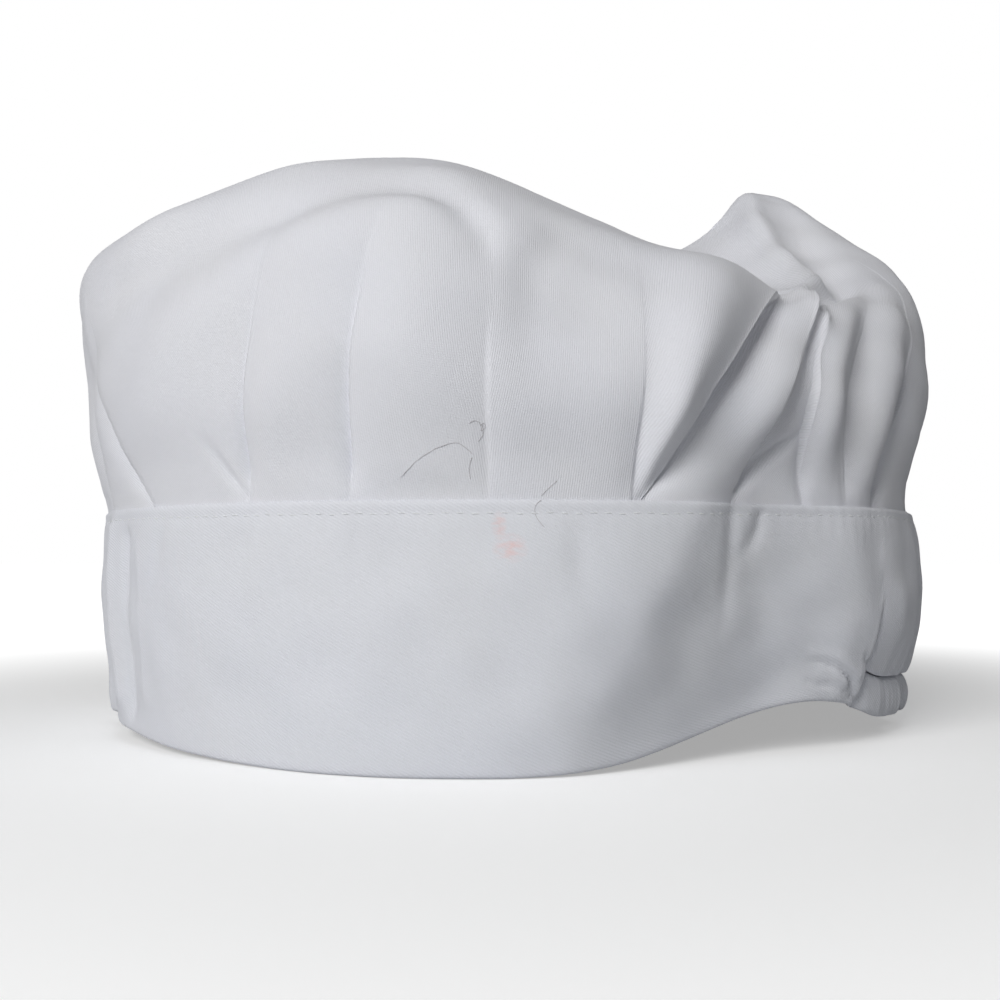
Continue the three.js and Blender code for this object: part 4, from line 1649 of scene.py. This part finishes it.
@dataclass
class Crown(SubAssembly):
    """The crown: a circle of twill, tucked into the band and fallen into folds."""

    cloth: float = 0.45
    column_width: float = 1.45
    fewest_columns: int = 10
    crowding: float = 0.75
    border: float = 0.25
    rows: int = 92
    row_power: float = 1.12
    hem: float = 7.0
    hem_rows: int = 5
    shape: CrownShape = field(init=False)

    def __post_init__(self) -> None:
        """Make the crown's surface on the band's."""
        self.shape = CrownShape(self.band)

    def columns(self) -> tuple[Array, Array]:
        """Return the panel and the place across it of each column, crowded at the creases.

        Returns:
            Two arrays. A panel's places follow a cosine, so that they crowd at both creases, and
            keep a small distance from them.
        """
        panels = []
        places = []
        for k in range(self.shape.tuck_count):
            number = np.array([k])
            mid = self.shape.tuck("mid", number + 1) - self.shape.tuck("mid", number)
            top = self.shape.tuck("top", number + 1) - self.shape.tuck("top", number)
            width = math.radians(float(np.maximum(mid, top)[0])) * self.band.opening.front_depth
            count = max(self.fewest_columns, round(width / self.column_width))
            q = np.linspace(0.0, 1.0, count)
            crowded = mixed(q, 0.5 - 0.5 * np.cos(math.pi * q), self.crowding)
            places.append(mixed(self.border / width, 1 - self.border / width, crowded))
            panels.append(np.full(count, k))
        return np.concatenate(panels), np.concatenate(places)

    def build(self) -> bpy.types.Object:
        """Return the crown: rows from the hem between the band's layers to the middle of the top.

        Returns:
            The object, with the cloth's thickness behind its surface.
        """
        panel, place = self.columns()
        t = np.linspace(0.0, 1.0, self.rows)[:-1] ** self.row_power
        k, across, height = np.broadcast_arrays(panel, place, t[:, None])
        body = self.shape.folded(k, across, height)
        flat = self.shape.flat(k, across, height)
        start, end = (self.shape.crease_azimuth(panel + side, np.zeros(len(panel))) for side in (0, 1))
        drop = np.linspace(self.hem, 0.0, self.hem_rows + 1)[:-1]
        band_v = 1 - (drop - self.shape.gap) / self.band.height
        azimuth, v = np.meshgrid(mixed(start, end, place), band_v)
        hem = self.band.place(azimuth, v, np.full(v.shape, self.shape.seam_depth))
        hem[..., 2] = (self.band.height + self.shape.gap - drop)[:, None]
        hem_flat = flat[:1] * (1 + drop / self.shape.run_up[-1])[:, None, None]
        points = np.concatenate([hem, body])
        cloth_place = np.concatenate([hem_flat, flat])
        closed = np.concatenate([cloth_place, cloth_place[:, :1]], axis=1)
        at_tuck = panel != np.roll(panel, -1)
        uv = grid_uv(closed * METRES, np.where(at_tuck, 2 * self.border * METRES, math.inf))
        piece = self.with_pole(points, uv)
        thicken(piece, self.cloth, offset=-1.0)
        return piece

    def with_pole(self, points: Array, uv: Array) -> bpy.types.Object:
        """Return the crown's object, closed with a pole in the middle of the top.

        Args:
            points: Rows of points in millimetres, from the hem up.
            uv: The corner pairs of the faces between them.

        Returns:
            The object, whose last faces share one point.
        """
        rows, columns = points.shape[:2]
        pole = np.array([[0.0, 0.0, self.shape.top_height]])
        last = (rows - 1) * columns + np.arange(columns)
        fan = np.stack([last, np.roll(last, -1), np.full(columns, rows * columns)], axis=-1)
        fan_uv = np.zeros((columns, 3, 2))
        fan_uv[:, :2] = uv.reshape(-1, 4, 2)[-columns:, [3, 2]]
        return make_object(
            "crown_cloth",
            self.placed(np.concatenate([points.reshape(-1, 3), pole])),
            grid_faces(rows, columns, closed=True),
            fan,
            np.concatenate([uv, fan_uv.reshape(-1, 2)]),
        )

    def dress(self, cloth: bpy.types.Object) -> None:
        """Give the crown its twill.

        Args:
            cloth: The crown.
        """
        twill = Twill("crown_twill", (0.79, 0.805, 0.862), rib_angle=0.0, pitch=0.45)
        cloth.data.materials.append(twill.material())
        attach(cloth, "root")
        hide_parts("crown")
        self.report(cloth)


@dataclass
class LooseThreads(SubAssembly):
    """Stray ends of dark thread that lie on the front of the hat."""

    shape: CrownShape
    radius: float = 0.055
    lift: float = 0.04
    points_a_thread: int = 28
    waver: float = 0.036
    waver_pace: float = 2.1

    def curve(self, places: Array) -> Array:
        """Return a smooth list of places through a few.

        Args:
            places: Pairs of azimuth and share of the crown's profile or of the band's height.

        Returns:
            More pairs, from cubics through the given ones.
        """
        stations = list(enumerate(places))
        stations.append((len(places), 2 * places[-1] - places[-2]))
        at = np.linspace(0.0, len(places) - 1, self.points_a_thread)[:, None]
        return through([(float(k), place) for k, place in stations], at)

    def on_crown(self, places: Array) -> Array:
        """Return a path over the crown's cloth.

        Args:
            places: Pairs of azimuth and share of the crown's profile.

        Returns:
            Points in millimetres, a little above the cloth.
        """
        azimuth, t = self.curve(places).T
        waver = self.waver * np.sin(self.waver_pace * np.arange(len(t)))
        path = self.shape.on_cloth(azimuth + waver, t)
        out, _ = self.shape.directions(azimuth, t)
        return path + out * self.lift

    def on_band(self, places: Array) -> Array:
        """Return a path over the band's outer face."""
        azimuth, v = self.curve(places).T
        return self.band.place(azimuth, v, np.full(len(v), -self.lift))

    def build(self) -> bpy.types.Object:
        """Return the threads: an arch, a wisp with a knot, and a hook over the seam.

        Returns:
            One object of all the threads. The hook's lower part, bent, lies on the band.
        """
        arch = np.array([[-10.7, 0.05], [-9.1, 0.08], [-7, 0.105], [-5, 0.117], [-4, 0.108], [-3.2, 0.095]])
        tail = np.array([[-3.3, 0.09], [-3.6, 0.07], [-3.5, 0.045]])
        wisp = np.array([[-3.6, 0.152], [-2.9, 0.157], [-2.3, 0.147], [-2.2, 0.132], [-2.7, 0.118]])
        knot = np.array([[-2.5, 0.148], [-2.1, 0.152], [-2.0, 0.143], [-2.4, 0.139], [-2.2, 0.149]])
        hook = np.array([[5.3, 0.042], [4.7, 0.03], [4.1, 0.016], [3.7, 0.006]])
        bent = np.array([[3.7, 1.0], [3.2, 0.985], [3.0, 0.96], [3.3, 0.93], [4.0, 0.9]])
        crown_paths = [self.on_crown(places) for places in (arch, tail, wisp, knot, hook)]
        points, faces = tubes([*crown_paths, self.on_band(bent)], self.radius)
        return make_object("loose_threads", self.placed(points), faces)

    def dress(self, threads: bpy.types.Object) -> None:
        """Give the threads their finish.

        Args:
            threads: The loose threads.
        """
        threads.data.materials.append(Thread("grey_thread", (0.55, 0.54, 0.56)).material())
        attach(threads, "root")
        self.report(threads)


# The studio


@dataclass(frozen=True)
class Studio:
    """The floor, the lights and the camera at the photograph's viewing angle."""

    distance: float = 304.0
    eye_height: float = 40.5
    focal_pixels: float = 1117.0
    horizon: float = 557.3
    middle: float = 505.0
    sensor: float = 36.0
    nearest: float = 0.01
    floor_width: float = 12.0
    floor_tint: tuple[float, float, float] = (0.7, 0.71, 0.72)
    floor_roughness: float = 0.95
    # Painted glow for the camera: the floor's emission strength near the hat, which rises to full beyond
    # white_from
    floor_glow: float = 0.38
    shadow_reach: float = 0.12
    white_from: float = 0.4
    key_place: tuple[float, float, float] = (-0.55, -1.03, 0.72)
    key_size: float = 0.7
    key_power: float = 13.4
    fill_place: tuple[float, float, float] = (0.8, -0.45, 1.2)
    fill_size: float = 0.6
    fill_power: float = 1.5
    lamp_tint: tuple[float, float, float] = (1.0, 0.985, 0.965)
    aim: tuple[float, float, float] = (0.0, 0.0, 0.07)
    room_strength: float = 0.05
    room_tint: tuple[float, float, float] = (0.95, 0.975, 1.0)

    def camera(self, shift: Array) -> None:
        """Make the camera in front of the hat, a little above the floor.

        Args:
            shift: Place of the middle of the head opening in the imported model, in metres.
        """
        pitch = math.atan((self.horizon - PHOTO_PIXELS / 2) / self.focal_pixels)
        yaw = math.atan((self.middle - PHOTO_PIXELS / 2) / self.focal_pixels)
        lens = bpy.data.cameras.new("camera")
        lens.sensor_width = self.sensor
        lens.lens = self.sensor * self.focal_pixels / PHOTO_PIXELS / math.cos(pitch)
        lens.clip_start = self.nearest
        camera = bpy.data.objects.new("camera", lens)
        camera.location = Vector((shift[0], shift[1] - self.distance * METRES, self.eye_height * METRES))
        camera.rotation_euler = (math.pi / 2 + pitch, 0.0, yaw)
        bpy.context.scene.collection.objects.link(camera)
        bpy.context.scene.camera = camera

    def floor(self) -> None:
        """Make the pale floor, whose painted glow, seen by the camera only, is weak near the hat and turns
        the floor plain white away from it.
        """
        half = self.floor_width / 2
        points = np.array([[-half, -half, 0], [half, -half, 0], [half, half, 0], [-half, half, 0]])
        floor = make_object("floor", points, np.array([[0, 1, 2, 3]]))
        material = bpy.data.materials.new("floor_paper")
        nodes = Nodes(material)
        distance = nodes.add("ShaderNodeVectorMath", "Value", {0: nodes.place()}, operation="LENGTH")
        # Painted glow: emission for camera rays only, at floor_glow within shadow_reach of the hat's middle
        # and full beyond white_from, so the floor is painted darker near the hat and white further off
        fade = {
            "Value": distance,
            "From Min": self.shadow_reach,
            "From Max": self.white_from,
            "To Min": self.floor_glow,
        }
        glow = nodes.add("ShaderNodeMapRange", "Result", fade, interpolation_type="SMOOTHSTEP")
        sight = nodes.add("ShaderNodeLightPath", "Is Camera Ray", {})
        nodes.feed(
            "Principled BSDF",
            {
                "Base Color": (*self.floor_tint, 1.0),
                "Roughness": self.floor_roughness,
                "Specular IOR Level": 0.0,
                "Emission Color": WHITE,
                "Emission Strength": nodes.product(glow, sight),
            },
        )
        floor.data.materials.append(material)

    def lamp(self, name: str, place: tuple[float, float, float], size: float, power: float) -> None:
        """Make one soft lamp that faces the hat.

        Args:
            name: The lamp's name.
            place: Where it is, in metres.
            size: Side of its square, in metres.
            power: Watts.
        """
        light = bpy.data.lights.new(name, "AREA")
        light.size = size
        light.energy = power
        light.color = self.lamp_tint
        lamp = bpy.data.objects.new(name, light)
        lamp.location = place
        lamp.rotation_euler = (Vector(self.aim) - Vector(place)).to_track_quat("-Z", "Y").to_euler()
        bpy.context.scene.collection.objects.link(lamp)

    def light(self) -> None:
        """Make a key lamp at the upper left, a weak one at the right and a room that looks white."""
        self.lamp("key", self.key_place, self.key_size, self.key_power)
        self.lamp("fill", self.fill_place, self.fill_size, self.fill_power)
        world = bpy.data.worlds.new("room")
        nodes = Nodes(world)
        nodes.feed("Background", {"Color": (*self.room_tint, 1.0), "Strength": self.room_strength})
        room = world.node_tree.nodes["Background"].outputs["Background"]
        paper = nodes.add("ShaderNodeBackground", "Background", {"Color": WHITE})
        sight = nodes.add("ShaderNodeLightPath", "Is Camera Ray", {})
        seen = nodes.add("ShaderNodeMixShader", "Shader", {"Fac": sight, 1: room, 2: paper})
        nodes.feed("World Output", {"Surface": seen})
        bpy.context.scene.world = world
        bpy.context.scene.view_settings.view_transform = "Standard"


def ring_middle(band: BandShape) -> Array:
    """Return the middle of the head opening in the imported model, in metres.

    Args:
        band: The band's surface.

    Returns:
        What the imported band's box adds to the same band counted from the head opening.
    """
    steps_round, steps_up = 1441, 21
    azimuth, v = np.meshgrid(
        np.linspace(-180.0, 180.0, steps_round), np.linspace(0.0, 1.0, steps_up)
    )
    away = band.plain_out(azimuth, v) + band.ripple(azimuth, v)
    own = band.opening.beside(azimuth, away).reshape(-1, 2).min(axis=0)
    low = np.array(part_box("band")[0])
    return np.append(low[:2] - own * METRES, 0.0)


def main() -> None:
    """Build the studio and the hat's sub-assemblies in order."""
    logging.basicConfig(level=logging.INFO, format="%(message)s")
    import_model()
    band = BandShape()
    shift = ring_middle(band)
    LOG.info("middle of the head opening: %s", shift.round(5))
    studio = Studio()
    studio.camera(shift)
    studio.floor()
    studio.light()
    strip = Band(band, shift)
    strip.dress(strip.build(), strip.stitches())
    casing = Casing(band, shift)
    casing.dress(casing.build())
    crown = Crown(band, shift)
    crown.dress(crown.build())
    threads = LooseThreads(band, shift, crown.shape)
    threads.dress(threads.build())


if __name__ == "__main__":
    main()
